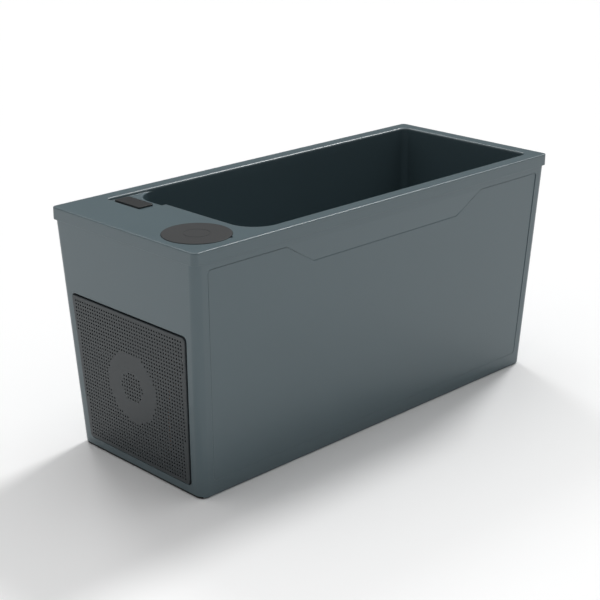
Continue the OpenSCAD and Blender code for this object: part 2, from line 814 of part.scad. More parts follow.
module filter_lid() color(lid_colour) translate([lid_at.x, lid_at.y, lid_z]) {
  rotate_extrude($fn = round_n * 2) polygon([
    [0, 0], [lid_d / 2, 0], [lid_d / 2, lid_t - lid_edge], [lid_d / 2 - lid_edge, lid_t],
    [lid_groove_d / 2 + groove_w, lid_t], [lid_groove_d / 2 + groove_w, lid_t - groove_d],
    [lid_groove_d / 2, lid_t - groove_d], [lid_groove_d / 2, lid_t], [0, lid_t]
  ]);
  translate([0, 0, -spigot_h])
    tube(lid_bore - foam_gap * 2, lid_bore - foam_gap * 2 - spigot_t * 2, spigot_h);
  translate([0, 0, -spigot_h]) cylinder(d = stem_d, h = spigot_h, $fn = round_n);
}

module lid_gasket() color(black) translate([lid_at.x, lid_at.y, lid_seat_z])
  tube(lid_d - foam_gap * 2, lid_bore + foam_gap * 2, gasket_t);

module filter_cartridge() color("#e8ecec") translate([lid_at.x, lid_at.y, cartridge_z]) {
  cylinder(d = cartridge_d + cap_over, h = cap_t, $fn = round_n);
  translate([0, 0, cap_t]) linear_extrude(height = cartridge_h - cap_t * 2)
    polygon([for (i = [0:pleat_n * 2 - 1])
      let (a = 180 * i / pleat_n, r = cartridge_d / 2 - (i % 2) * cap_t) [r * cos(a), r * sin(a)]]);
  translate([0, 0, cartridge_h - cap_t]) cylinder(d = cartridge_d + cap_over, h = cap_t, $fn = round_n);
  translate([0, 0, cartridge_h]) cylinder(d = stem_d, h = stem_h, $fn = round_n);
}

// The pot: a plain tube between a base with the two ports and the flange under the deck's boss
housing_t = 4;
housing_base_t = housing_t * 2;
housing_z = boss_z - housing_h;
housing_flange_t = 6;
port_in_off = 25;
port_out_off = 40;
port_in = [-port_in_off, 0];
port_out = [port_out_off, 0];
port_l = 12;

module filter_housing() color(black) translate([lid_at.x, lid_at.y, housing_z + housing_base_t])
  tube(housing_d, housing_d - housing_t * 2, housing_h - housing_base_t - housing_flange_t);

module housing_base() color(black) translate([lid_at.x, lid_at.y, housing_z]) difference() {
  union() {
    cylinder(d = housing_d, h = housing_base_t, $fn = round_n * 2);
    for (p = [port_in, port_out]) translate([p.x, p.y, -port_l])
      cylinder(d = pipe_d + pipe_t * 2, h = port_l + housing_t, $fn = round_n);
  }
  for (p = [port_in, port_out]) translate([p.x, p.y, -port_l - over])
    cylinder(d = pipe_d - pipe_t * 2, h = port_l + housing_base_t + over * 2, $fn = round_n);
}

module housing_flange() color(black) translate([lid_at.x, lid_at.y, boss_z - housing_flange_t])
  tube(lid_d + boss_wall * 2, housing_d - housing_t * 2, housing_flange_t);

// Touch tile in the control pocket

tile_in = 16.2;
tile_off = 10;
tile_at = [pocket_x0 + tile_in + tile_l / 2, pocket_y + pocket_w / 2 + tile_off, pocket_z];
spigot_tile_d = 16;
tile_r = 7;
tile_spigot_l = 16;
tile_nut_d = 28;
tile_nut_h = 7;

module display_housing() color(black) translate(tile_at) {
  block([tile_l, tile_w, tile_h - glass_t], tile_r);
  translate([0, 0, -tile_spigot_l]) cylinder(d = spigot_tile_d, h = tile_spigot_l, $fn = round_n);
}

module display_glass() color("#3f4547") translate(tile_at + [0, 0, tile_h - glass_t])
  block([tile_l - glass_t, tile_w - glass_t, glass_t], tile_r - glass_t / 2);

module display_nut() color(black) translate(tile_at - [0, 0, liner_t + tile_nut_h]) difference() {
  cylinder(d = tile_nut_d, h = tile_nut_h, $fn = 6);
  translate([0, 0, -over])
    cylinder(d = spigot_tile_d + seat_gap * 2, h = tile_nut_h + over * 2, $fn = round_n);
}

// Refrigeration

cond_x = pan_x0 + plate_t + foam_gap;
cond_side_gap = 49.95;
cond_y = pan_y - plate_t - cond_side_gap - cond_w / 2;
fan_z = bay_z + cond_w / 2;
shroud_x = cond_x + cond_t;
shroud_t = 2;
shroud_l = 40;
fan_clear = 6;
header_w = 14;
fin_pitch = 8;
fin_t = 1;

module condenser() color("#3a3d3f") translate([cond_x, cond_y - cond_w / 2, bay_z]) {
  for (y = [0, cond_w - header_w]) translate([0, y, 0]) cube([cond_t, header_w, cond_w]);
  for (z = [0, cond_w - header_w]) translate([0, 0, z]) cube([cond_t, cond_w, header_w]);
  translate([cond_t / 3, header_w / 2, header_w / 2])
    cube([cond_t / 3, cond_w - header_w, cond_w - header_w]);
  for (i = [1:floor((cond_w - header_w * 2) / fin_pitch)])
    translate([fin_t, header_w / 2, header_w + i * fin_pitch - fin_pitch / 2])
      cube([cond_t - fin_t * 2, cond_w - header_w, fin_t]);
}

motor_d = 84;
motor_l = 42;
shaft_d = 8;
shaft_l = 30;
strut_w = 10;
motor_x = shroud_x + shroud_l;

module fan_shroud() color(black) translate([shroud_x, cond_y, fan_z]) difference() {
  union() {
    translate([0, -cond_w / 2, -cond_w / 2]) cube([shroud_t, cond_w, cond_w]);
    rotate([0, 90, 0]) cylinder(d = fan_d + shroud_t * 2, h = shroud_l, $fn = round_n * 2);
  }
  difference() {
    translate([-over, 0, 0]) rotate([0, 90, 0])
      cylinder(d = fan_d, h = shroud_l + over * 2, $fn = round_n * 2);
    // Struts that hold the motor, across the outlet
    translate([shroud_l - shroud_t * 2, 0, 0]) intersection() {
      rotate([0, 90, 0]) cylinder(d = fan_d + shroud_t, h = shroud_t * 2, $fn = round_n * 2);
      union() {
        for (a = [0, 90]) rotate([a, 0, 0]) translate([0, -fan_d, -strut_w / 2])
          cube([shroud_t * 2, fan_d * 2, strut_w]);
        rotate([0, 90, 0]) cylinder(d = motor_d, h = shroud_t * 2, $fn = round_n * 2);
      }
    }
  }
  translate([-over, 0, 0]) rotate([0, 90, 0])
    cylinder(d = shaft_d + foam_gap * 2, h = shroud_l + over * 2, $fn = round_n);
}

module fan_motor() color(steel) translate([motor_x, cond_y, fan_z]) rotate([0, 90, 0]) {
  cylinder(d = motor_d, h = motor_l, $fn = round_n);
  translate([0, 0, -shaft_l]) cylinder(d = shaft_d, h = shaft_l, $fn = round_n);
}

hub_d = 60;
hub_l = 22;
blade_t = 3;
blade_w = 46;
blade_pitch = 28;
rotor_x = motor_x - shroud_t * 2 - hub_l - fan_clear / 2;

module fan_rotor() color(black) translate([rotor_x, cond_y, fan_z]) difference() {
  union() {
    rotate([0, 90, 0]) cylinder(d = hub_d, h = hub_l, $fn = round_n);
    intersection() {
      rotate([0, 90, 0]) cylinder(d = fan_d - fan_clear * 2, h = hub_l, $fn = round_n * 2);
      for (i = [0:blade_n - 1]) rotate([i * 360 / blade_n, 0, 0]) translate([hub_l / 2, 0, 0])
        rotate([0, 0, blade_pitch]) translate([-blade_t / 2, -blade_w / 2, hub_d / 3])
          cube([blade_t, blade_w, fan_d]);
    }
  }
  translate([-over, 0, 0]) rotate([0, 90, 0])
    cylinder(d = shaft_d + seat_gap / 3, h = hub_l + over * 2, $fn = round_n);
}

mount_h = 15;
mount_d = 26;
mount_reach = 77;
mount_plate_t = 4;
mount_bolt_d = 8;
// The mounts stand on the plate's diagonals
mount_a = 45;
comp_top = bay_z + mount_h + comp_h;
comp_round = 40;
comp_port_x = 20;
comp_port_y = 30;
comp_plate_w = mount_reach * 2 * cos(mount_a) + mount_d;
comp_gap = 11.5;
comp_side_gap = 20.5;
comp_at = [bulkhead_x - comp_gap - comp_plate_w / 2, comp_side_gap + comp_plate_w / 2 - pan_y, bay_z];
mount_places = [for (i = [0:3]) mount_reach * [cos(mount_a + 90 * i), sin(mount_a + 90 * i), 0]];

module compressor() color(black) translate(comp_at + [0, 0, mount_h]) {
  difference() {
    block([comp_plate_w, comp_plate_w, mount_plate_t], mount_d / 2);
    for (p = mount_places) translate([p.x, p.y, -over])
      cylinder(d = mount_bolt_d + foam_gap, h = mount_plate_t + over * 2, $fn = round_n);
  }
  rotate_extrude($fn = round_n) polygon(concat(
    [[0, 0]],
    [[comp_d / 2, 0]],
    [for (i = [0:quarter_n]) let (a = 90 * i / quarter_n)
      [comp_d / 2 - comp_round * (1 - cos(a)), comp_h - comp_round / 2 * (1 - sin(a)) - comp_round / 4]],
    [[0, comp_h - comp_round / 4]]
  ));
  // Stubs of the two lines
  for (side = [-1, 1]) translate([side * comp_port_x, comp_port_y, comp_h / 2])
    cylinder(d = line_d + line_t * 4, h = comp_h / 2, $fn = round_n);
}

module compressor_mounts() color("#2a2a2a")
  for (p = mount_places) translate(comp_at + p) {
    cylinder(d = mount_d, h = mount_h, $fn = round_n);
    translate([0, 0, mount_h]) cylinder(d = mount_bolt_d, h = mount_plate_t * 2, $fn = round_n);
  }

saddle_reach = 39;
hx_x = bulkhead_x - saddle_reach - hx_d / 2;
hx_drop = 46;
hx_z = housing_z - port_l - hx_drop;
hx_off = 70;
hx_y0 = -hx_off;
hx_mid = hx_y0 + hx_l / 2;
hx_cap_l = 24;
hx_cap_over = 4;
stub_l = 10;

module heat_exchanger() color(black) {
  translate([hx_x, hx_y0, hx_z]) rotate([-90, 0, 0]) {
    cylinder(d = hx_d, h = hx_l, $fn = round_n);
    for (z = [0, hx_l - hx_cap_l]) translate([0, 0, z])
      cylinder(d = hx_d + hx_cap_over * 2, h = hx_cap_l, $fn = round_n);
  }
  translate([hx_x, return_at.y, hx_z])
    cylinder(d = pipe_d + pipe_t * 2, h = hx_d / 2 + stub_l, $fn = round_n);
}

// Water lines

bend_r = 32;
volute_d = 96;
volute_l = 40;
pump_gap = 6;
pump_lift = 57;
pump_side_gap = 30;
pump_x = bulkhead_x - pump_gap - volute_d / 2;
pump_z = bay_z + pump_lift;
pump_y0 = pan_y - plate_t - pump_side_gap - pump_l;
out_y = pump_y0 + volute_l / 2;

module circulation_pump() color(black) {
  translate([pump_x, pump_y0, pump_z]) rotate([-90, 0, 0]) {
    cylinder(d = volute_d, h = volute_l, $fn = round_n);
    cylinder(d = pump_d, h = pump_l, $fn = round_n);
    translate([0, 0, -stub_l]) cylinder(d = pipe_d + pipe_t * 2, h = stub_l, $fn = round_n);
  }
  translate([pump_x, out_y, pump_z])
    cylinder(d = pipe_d + pipe_t * 2, h = volute_d / 2 + stub_l, $fn = round_n);
  translate([pump_x - pump_d / 3, pump_y0, bay_z])
    cube([pump_d * 2 / 3, pump_l, pump_z - bay_z - pump_d / 3]);
}

module water_pipe(points) color("#dfe3e4") pipe(points, pipe_d, pipe_t, bend_r);

fitting_back = 14;
nut_d = 54;
nut_h = 6;

module suction_pipe() water_pipe([
  suction_at - [fitting_back + liner_t, 0, 0],
  [pump_x, suction_at.y, suction_at.z],
  [pump_x, suction_at.y, pump_z],
  [pump_x, pump_y0 - stub_l, pump_z]
]);

run_gap = 10;
run_z = hx_z - hx_d / 2 - hx_cap_over - pipe_d / 2 - run_gap;

module pressure_pipe() water_pipe([
  [pump_x, out_y, pump_z + volute_d / 2 + stub_l],
  [pump_x, out_y, run_z],
  [pump_x, lid_at.y, run_z],
  [lid_at.x + port_in.x, lid_at.y, run_z],
  [lid_at.x + port_in.x, lid_at.y, housing_z - port_l]
]);

module filter_pipe() water_pipe([
  [hx_x, lid_at.y, housing_z - port_l],
  [hx_x, lid_at.y, hx_z],
  [hx_x, hx_y0, hx_z]
]);

module return_pipe() water_pipe([
  [hx_x, return_at.y, hx_z + hx_d / 2 + stub_l],
  [hx_x, return_at.y, return_at.z],
  return_at - [fitting_back + liner_t, 0, 0]
]);

// Refrigerant lines

line_bend = 14;
line_t = 1;

module line(points) color(copper) pipe(points, line_d, line_t, line_bend);

line_x = cond_x + cond_t / 2;
line_z = bay_z + cond_w - header_w * 2;
line_low_z = bay_z + header_w * 3;
cond_y0 = cond_y - cond_w / 2;

module discharge_line() line([
  [comp_at.x - comp_port_x, comp_at.y + comp_port_y, comp_top],
  [comp_at.x - comp_port_x, comp_at.y + comp_port_y, line_z],
  [line_x, comp_at.y + comp_port_y, line_z],
  [line_x, cond_y0, line_z]
]);

line_gap = 24;
line_step = 25;
liquid_side_gap = 32;
return_line_z = run_z - (pipe_d + line_d) / 2 - line_gap;
liquid_y = cond_y0 - liquid_side_gap;
liquid_z = return_line_z - line_step;

module liquid_line() line([
  [line_x, cond_y0, line_low_z],
  [line_x, liquid_y, line_low_z],
  [line_x, liquid_y, liquid_z],
  [hx_x, liquid_y, liquid_z],
  [hx_x, hx_y0 + hx_cap_l + line_d, liquid_z],
  [hx_x, hx_y0 + hx_cap_l + line_d, hx_z - hx_d / 2]
]);

suction_line_y = hx_y0 + hx_l * clamp_share;

module suction_line() line([
  [hx_x, suction_line_y, hx_z - hx_d / 2],
  [hx_x, suction_line_y, return_line_z],
  [comp_at.x + comp_port_x, suction_line_y, return_line_z],
  [comp_at.x + comp_port_x, comp_at.y + comp_port_y, return_line_z],
  [comp_at.x + comp_port_x, comp_at.y + comp_port_y, comp_top]
]);

box_gap = 10;
box_side_gap = 25;
box_z = return_at.z + pipe_d / 2 + box_gap;
box_y = lid_y + housing_d / 2 + box_side_gap + box_w / 2;
box_r = 6;

module control_box() color("#3c3f41")
  translate([bulkhead_x - box_t / 2, box_y, box_z]) {
    block([box_t, box_w, box_h], box_r);
    translate([-box_t / 2, -box_w / 2 + box_r, box_h]) cube([box_t, box_w - box_r * 2, plate_t]);
  }

pin_w = 2;
pin_h = 6;
pin_l = 20;
pin_gap = 14;
inlet_hollow = 24;
inlet_back = 1.5;

module power_inlet() color(black) on_inlet() {
  difference() {
    union() {
      block([inlet_w + inlet_flange * 2, inlet_h + inlet_flange, inlet_flange_t], inlet_r * 2);
      translate([0, 0, -inlet_depth]) block([inlet_w, inlet_h, inlet_depth], inlet_r);
    }
    translate([0, 0, -inlet_hollow])
      block([inlet_w - inlet_r * 2, inlet_h - inlet_r * 2, inlet_depth], inlet_r);
  }
  for (i = [-1:1]) translate([i * pin_gap - pin_w / 2, -pin_h / 2, -inlet_hollow - inlet_back])
    cube([pin_w, pin_h, pin_l]);
}

// Fittings in the basin's end wall, wedged behind to the wall's draft

draft_angle = atan(draft_share);

// Where the drafted end wall lies at the height z
function wall_x(z) = basin_x0 + draft_share * (body_h - z);

module wall_fitting(p, d, dome, bore_n) {
  x = wall_x(p.z);
  difference() {
    translate([x - over, p.y, p.z]) rotate([0, 90, 0])
      cylinder(d1 = d, d2 = d - dome, h = dome + over, $fn = round_n);
    translate([x, p.y, p.z]) rotate([0, -draft_angle, 0]) translate([-dome * 2, -d, -d])
      cube([dome * 2, d * 2, d * 2]);
    for (i = [1:bore_n]) translate([x - over, p.y, p.z])
      rotate([i * 360 / bore_n, 0, 0]) translate([0, 0, d / 4]) rotate([0, 90, 0])
        cylinder(d = d / 8, h = dome * 3, $fn = round_n / 2);
  }
  // Tail through the wall, and its nut behind
  difference() {
    translate([basin_x0 - fitting_back - liner_t, p.y, p.z]) rotate([0, 90, 0])
      cylinder(d = tail_d, h = x - basin_x0 + fitting_back + liner_t + dome / 2, $fn = round_n);
    translate([basin_x0 - fitting_back - liner_t - over, p.y, p.z]) rotate([0, 90, 0])
      cylinder(d = pipe_d - pipe_t * 2, h = fitting_back + liner_t, $fn = round_n);
  }
  translate([wall_x(p.z) - liner_t - nut_h - foam_gap * 3, p.y, p.z]) rotate([0, 90, 0])
    tube(nut_d, tail_d - foam_gap, nut_h);
}

grate_d = 96;
grate_dome = 9;
nozzle_dome = 7;

module suction_grate() color(black) wall_fitting(suction_at, grate_d, grate_dome, 12);
module return_nozzle() color(black) wall_fitting(return_at, nozzle_d, nozzle_dome, 6);

// Drain

nut_big_d = 70;
nut_big_h = 8;
valve_d = 40;
valve_l = 38;
stem_valve_d = 10;
valve_top = drain_z + valve_d / 2 + liner_t;
handle_h = 8;
handle_t = 8;
valve_x = niche_x + valve_l / 2 + over;
spigot_l = 14;

module drain_fitting() color("#8d9396") translate(drain_at) {
  difference() {
    union() {
      cylinder(
        d1 = drain_flange_d, d2 = drain_flange_d - drain_flange_t * 2, h = drain_flange_t, $fn = round_n
      );
      translate([0, 0, -liner_t - nut_big_h * 2])
        cylinder(d = drain_tail_d, h = liner_t + nut_big_h * 2, $fn = round_n);
    }
    for (i = [0:7]) rotate([0, 0, i * 45]) translate([drain_tail_d / 3, 0, -liner_t])
      cylinder(d = drain_tail_d / 6, h = liner_t * 2 + over, $fn = round_n / 2);
    translate([0, 0, -liner_t - nut_big_h * 2 - over])
      cylinder(d = drain_tail_d - pipe_t * 2, h = nut_big_h * 2 + over, $fn = round_n);
  }
  translate([0, 0, -liner_t - nut_big_h]) tube(nut_big_d, drain_tail_d - foam_gap, nut_big_h);
}

module drain_pipe() color("#dfe3e4") {
  pipe(
    [
      drain_at - [0, 0, liner_t + nut_big_h * 2 + pipe_t],
      [drain_at.x, 0, drain_z],
      [niche_x, 0, drain_z]
    ],
    drain_d, pipe_t, drain_d
  );
  translate(drain_at - [0, 0, liner_t + nut_big_h * 2 + pipe_t])
    tube(drain_tail_d, drain_d - pipe_t * 2, pipe_t);
}

module drain_valve() color("#8d9396") translate([niche_x, 0, drain_z]) difference() {
  union() {
    rotate([0, 90, 0]) cylinder(d = valve_d, h = valve_l, $fn = round_n);
    translate([valve_l, 0, 0]) rotate([0, 90, 0]) cylinder(d = spigot_d, h = spigot_l, $fn = round_n);
    translate([valve_x - niche_x, 0, 0]) cylinder(d = valve_d / 2, h = valve_top - drain_z, $fn = round_n);
    translate([valve_x - niche_x, 0, 0])
      cylinder(d = stem_valve_d, h = valve_top - drain_z + handle_t, $fn = round_n);
  }
  translate([-over, 0, 0]) rotate([0, 90, 0])
    cylinder(d = spigot_bore, h = valve_l + spigot_l + over * 2, $fn = round_n);
}

module drain_handle() color("#7d2f2f") translate([valve_x, 0, valve_top + seat_gap]) difference() {
  union() {
    cylinder(d = stem_valve_d * 2, h = handle_h, $fn = round_n);
    block([stem_valve_d, handle_w, handle_h], stem_valve_d / 3);
  }
  translate([0, 0, -over]) cylinder(d = stem_valve_d + seat_gap / 3, h = handle_h + over * 2, $fn = round_n);
}

outer_shell();
basin_liner();
foam_jacket();
base_frame();
glide_pads();
shell_screws();
base_pan();
bulkhead();
grille_panel();
grille_studs();
grille_sockets();
filter_lid();
lid_gasket();
filter_cartridge();
filter_housing();
housing_base();
housing_flange();
display_housing();
display_glass();
display_nut();
compressor();
compressor_mounts();
condenser();
fan_shroud();
fan_motor();
fan_rotor();
heat_exchanger();
discharge_line();
liquid_line();
suction_line();
circulation_pump();
suction_pipe();
pressure_pipe();
filter_pipe();
return_pipe();
control_box();
power_inlet();
suction_grate();
return_nozzle();
drain_fitting();
drain_pipe();
drain_valve();
drain_handle();
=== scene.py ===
"""Looks of a cold plunge tub, built around its packed construction.

Lengths are in metres and angles in radians. X runs along the tub, with the deck and the machine bay at -X.
The photographed long side is -Y, Z is up, and the floor is at zero.
"""

import json
import math

import bmesh
import bpy
from bpy.props import FloatProperty, FloatVectorProperty, IntProperty, PointerProperty
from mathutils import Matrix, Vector
from mathutils.geometry import delaunay_2d_cdt


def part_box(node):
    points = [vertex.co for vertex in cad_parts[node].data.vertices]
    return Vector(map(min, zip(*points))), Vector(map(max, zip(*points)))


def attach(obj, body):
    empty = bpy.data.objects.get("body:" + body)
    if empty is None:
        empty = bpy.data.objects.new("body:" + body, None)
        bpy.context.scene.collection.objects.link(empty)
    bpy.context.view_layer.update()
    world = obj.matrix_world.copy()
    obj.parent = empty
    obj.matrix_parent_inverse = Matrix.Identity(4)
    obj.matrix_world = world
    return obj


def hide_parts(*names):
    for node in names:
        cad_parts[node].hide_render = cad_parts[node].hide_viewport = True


bl_info = {
    "name": "Cold Plunge Tub",
    "version": (1, 0, 0),
    "blender": (4, 5, 0),
    "location": "View3D > Sidebar > Plunge Tub",
    "description": "Dresses a cold plunge tub: moulded shell and basin, perforated grille, filter lid and touch tile",
    "category": "Add Mesh",
}

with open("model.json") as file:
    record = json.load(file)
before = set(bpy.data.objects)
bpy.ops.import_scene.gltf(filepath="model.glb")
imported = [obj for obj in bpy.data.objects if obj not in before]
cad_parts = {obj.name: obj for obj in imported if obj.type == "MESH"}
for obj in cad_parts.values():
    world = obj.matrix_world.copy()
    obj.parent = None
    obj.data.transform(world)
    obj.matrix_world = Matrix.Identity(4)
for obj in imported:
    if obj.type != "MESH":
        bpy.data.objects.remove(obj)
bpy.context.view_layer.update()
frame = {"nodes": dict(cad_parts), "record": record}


def middle(node):
    """Middle of a node's box."""
    low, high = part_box(node)
    return (low + high) / 2


def extent(node):
    """Length of a node's box along each axis."""
    low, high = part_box(node)
    return high - low


TUB_LENGTH, TUB_WIDTH = extent("basin_liner").xy
TUB_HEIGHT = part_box("basin_liner")[1].z

CORNER_STEPS = 16  # of a rounded corner in an outline
EDGE_STEPS = 6  # of a rounded edge
OVERRUN = 0.002  # how far a cutter runs past the solid
HAIR = 0.00002  # keeps faces from lying in one plane
FIT = 0.0003  # gap between pieces that fit into each other
TILE_STEM = 0.008  # radius of the stem under the touch tile
SHARP = math.radians(35)  # faces that meet at a wider angle keep a crisp edge


def length(name, description, value):
    """A length that the user may change."""
    return FloatProperty(name=name, description=description, default=value, unit="LENGTH")


def colour(name, description, value):
    """A colour that the user may change, as linear values."""
    return FloatVectorProperty(
        name=name, description=description, default=value, size=3, subtype="COLOR", min=0, max=1
    )


class TubSizes(bpy.types.PropertyGroup):
    """Sizes of the moulded shell, the basin and the grille."""

    lip_height: length("Lip height", "Height of the lip round the top", 0.041)
    lip_over: length("Lip overhang", "How far the lip stands out from the shell", 0.0038)
    lip_radius: length("Lip corner", "Corner radius of the lip in plan", 0.019)
    edge_radius: length("Edge radius", "Radius along the lip's edges", 0.004)
    rim_radius: length("Rim radius", "Radius where the rim turns down into the basin", 0.007)
    deck_end_in: length("Deck end inset", "How far the foot of the deck end lies inside the lip", 0.0463)
    basin_end_in: length("Basin end inset", "How far the foot of the basin end lies inside the lip", 0.0362)
    side_in: length("Side inset", "How far the foot of a long side lies inside the lip", 0.04605)
    shell_radius: length("Shell corner", "Upright corner radius of the shell", 0.030)
    shell_wall: length("Shell wall", "Wall of the shell", 0.008)
    toe_gap: length("Toe gap", "Height of the gap under the deck end", 0.009)
    foot_radius: length("Foot radius", "Radius along the shell's lower edge", 0.008)
    panel_margin: length("Panel margin", "Distance of the side panel from the shell's edges", 0.051)
    panel_low: length("Panel foot", "Height of the side panel's lower edge", 0.054)
    panel_drop: length("Panel drop", "Distance from the lip down to the side panel", 0.022)
    panel_depth: length("Panel depth", "Depth of the side panel at its top", 0.0026)
    panel_foot_depth: length("Panel foot depth", "Depth of the side panel at its foot", 0.0006)
    panel_radius: length("Panel corner", "Corner radius of the side panel", 0.014)
    panel_edge: length("Panel edge", "Radius of the side panel's edge", 0.0008)
    panel_groove: length("Panel groove", "Depth of the fine groove along the side panel's edge", 0.0014)
    scoop_top: length("Scoop top", "Length of the scoop at its upper edge", 0.958)
    scoop_foot: length("Scoop foot", "Length of the scoop at its lower edge", 0.705)
    scoop_height: length("Scoop height", "Height of the scoop", 0.074)
    scoop_depth: length("Scoop depth", "Depth of the scoop at its lower edge", 0.004)
    rim: length("Rim", "Width of the rim round the basin", 0.056)
    deck: length("Deck", "Length of the deck", 0.285)
    depth: length("Basin depth", "Depth of the basin", 0.700)
    deck_corner: length("Deck corner", "Radius of the basin's corners at the deck", 0.098)
    far_corner: length("Far corner", "Radius of the basin's far corners", 0.026)
    draft: FloatProperty(name="Draft", description="How much the basin closes in per unit of depth", default=0.026)
    floor_radius: length("Floor radius", "Radius between basin wall and floor", 0.060)
    liner_wall: length("Liner wall", "Wall of the basin", 0.006)
    deck_wall: length("Deck wall", "Thickness of the deck", 0.0065)
    skirt: length("Skirt", "Thickness of the lip's skirt", 0.004)
    pocket_length: length("Pocket length", "Length of the control pocket", 0.100)
    pocket_width: length("Pocket width", "Width of the control pocket", 0.184)
    pocket_depth: length("Pocket depth", "Depth of the control pocket", 0.0095)
    pocket_radius: length("Pocket corner", "Corner radius of the control pocket", 0.012)
    grille_margin: length("Grille margin", "Distance of the grille opening from the shell's edges", 0.050)
    grille_low: length("Grille foot", "Height of the opening's lower edge", 0.035)
    grille_high: length("Grille top", "Height of the opening's upper edge", 0.554)
    grille_radius: length("Grille corner", "Corner radius of the opening", 0.016)
    grille_gap: length("Grille gap", "Gap between the panel and its opening", 0.004)
    grille_proud: length("Grille stand-off", "How far the panel stands out", 0.004)
    hole: length("Perforation", "Diameter of one perforation", 0.0064)
    pitch: length("Perforation pitch", "Distance between perforations", 0.0126)
    hole_border: length("Plain border", "Plain border round the perforations", 0.010)
    hole_sides: IntProperty(name="Perforation sides", description="Sides of one perforation", default=12, min=6)
    ring_outer: length("Ring", "Outer diameter of the plain ring", 0.235)
    ring_inner: length("Ring bore", "Inner diameter of the plain ring", 0.110)
    ring_height: length("Ring height", "Height of the ring's centre", 0.299)


class TubFinishes(bpy.types.PropertyGroup):
    """Colours of the tub's materials."""

    body: colour("Body", "Moulded slate plastic of the shell and basin", (0.076, 0.116, 0.132))
    grille: colour("Grille", "Powder coat on the grille panel", (0.028, 0.036, 0.040))
    lid: colour("Lid", "Moulded plastic of the filter lid", (0.017, 0.019, 0.020))
    glass: colour("Touch glass", "Print behind the touch tile's glass", (0.018, 0.020, 0.021))
    black: colour("Black plastic", "Moulded black plastic", (0.020, 0.021, 0.022))
    # Rubber also colours the toe strip, which paints the shade inside the toe gap.
    rubber: colour("Rubber", "Pads, seals and grommets", (0.018, 0.018, 0.018))
    foam: colour("Foam", "Rigid insulation", (0.70, 0.60, 0.32))
    zinc: colour("Zinc", "Zinc-plated steel", (0.55, 0.56, 0.57))
    copper: colour("Copper", "Drawn copper tube", (0.62, 0.30, 0.17))
    fins: colour("Fins", "Aluminium fins", (0.42, 0.43, 0.44))
    pipe: colour("Pipe", "Rigid white water pipe", (0.72, 0.74, 0.75))
    cloth: colour("Filter cloth", "Pleated filter cloth", (0.78, 0.81, 0.82))
    fitting: colour("Fitting", "Grey moulded fittings", (0.24, 0.27, 0.28))
    handle: colour("Handle", "Red moulded handle", (0.24, 0.022, 0.020))


# Outlines and rings


def rounded(corners, steps=CORNER_STEPS):
    """Closed outline through corners (x, y, radius), each rounded by its own radius."""
    points = []
    for i, (x, y, radius) in enumerate(corners):
        here = Vector((x, y))
        back = (Vector(corners[i - 1][:2]) - here).normalized()
        ahead = (Vector(corners[(i + 1) % len(corners)][:2]) - here).normalized()
        half = math.acos(max(-1, min(1, back.dot(ahead)))) / 2
        centre = here + (back + ahead).normalized() * radius / math.sin(half)
        reach = radius / math.tan(half)
        first = here + back * reach - centre
        last = here + ahead * reach - centre
        start = math.atan2(first.y, first.x)
        turn = (math.atan2(last.y, last.x) - start + 3 * math.pi) % (2 * math.pi) - math.pi
        for step in range(steps + 1):
            angle = start + turn / steps * step
            points.append((centre.x + radius * math.cos(angle), centre.y + radius * math.sin(angle)))
    return points


def inset(corners, distance):
    """The same anticlockwise corners with every side moved inward, and the radii following."""
    count = len(corners)
    moved = []
    for i, (x, y, radius) in enumerate(corners):
        here = Vector((x, y))
        before = (here - Vector(corners[i - 1][:2])).normalized()
        after = (Vector(corners[(i + 1) % count][:2]) - here).normalized()
        turn = before.cross(after)
        bisect = Vector((-before.y - after.y, before.x + after.x)).normalized()
        reach = distance / bisect.dot(Vector((-after.y, after.x)))
        p = here + bisect * reach
        moved.append((p.x, p.y, max(radius - distance * math.copysign(1, turn), HAIR)))
    return moved


def rectangle(x0, x1, y0, y1, radii):
    """Corners of a rectangle, anticlockwise from +X+Y, each with its radius."""
    return [(x1, y1, radii[0]), (x0, y1, radii[1]), (x0, y0, radii[2]), (x1, y0, radii[3])]


def level(points, z):
    """An outline as a level ring at the height z."""
    return [Vector((x, y, z)) for x, y in points]


def round_over(radius, steps=EDGE_STEPS):
    """Steps of a rounded edge from its wall to its top face: how far in from the wall, how far below the face."""
    angles = [math.pi / 2 * i / steps for i in range(steps + 1)]
    return [(radius * (1 - math.cos(a)), radius * (1 - math.sin(a))) for a in angles]


def flared(ring_at, top, radius, steps=EDGE_STEPS):
    """Rings that flare out as they reach an edge at the height top. ring_at takes a height and a distance outward."""
    rings = [ring_at(top - down - HAIR * (out > 0), out) for out, down in round_over(radius, steps)]
    return rings + [ring_at(top + OVERRUN, radius)]


# Meshes


def mesh_object(name, points, faces):
    """A new object from points and faces, with its normals turned outward."""
    mesh = bpy.data.meshes.new(name)
    mesh.from_pydata([tuple(p) for p in points], [], faces)
    work = bmesh.new()
    work.from_mesh(mesh)
    bmesh.ops.recalc_face_normals(work, faces=work.faces)
    work.to_mesh(mesh)
    work.free()
    made = bpy.data.objects.new(name, mesh)
    bpy.context.scene.collection.objects.link(made)
    return made


def loft(name, rings):
    """A closed solid through a stack of rings that all have as many points."""
    n = len(rings[0])
    points = [p for ring in rings for p in ring]
    faces = [list(range(n)), list(range(len(points) - n, len(points)))]
    for i in range(len(rings) - 1):
        for j in range(n):
            k = (j + 1) % n
            faces.append([i * n + j, i * n + k, (i + 1) * n + k, (i + 1) * n + j])
    return mesh_object(name, points, faces)


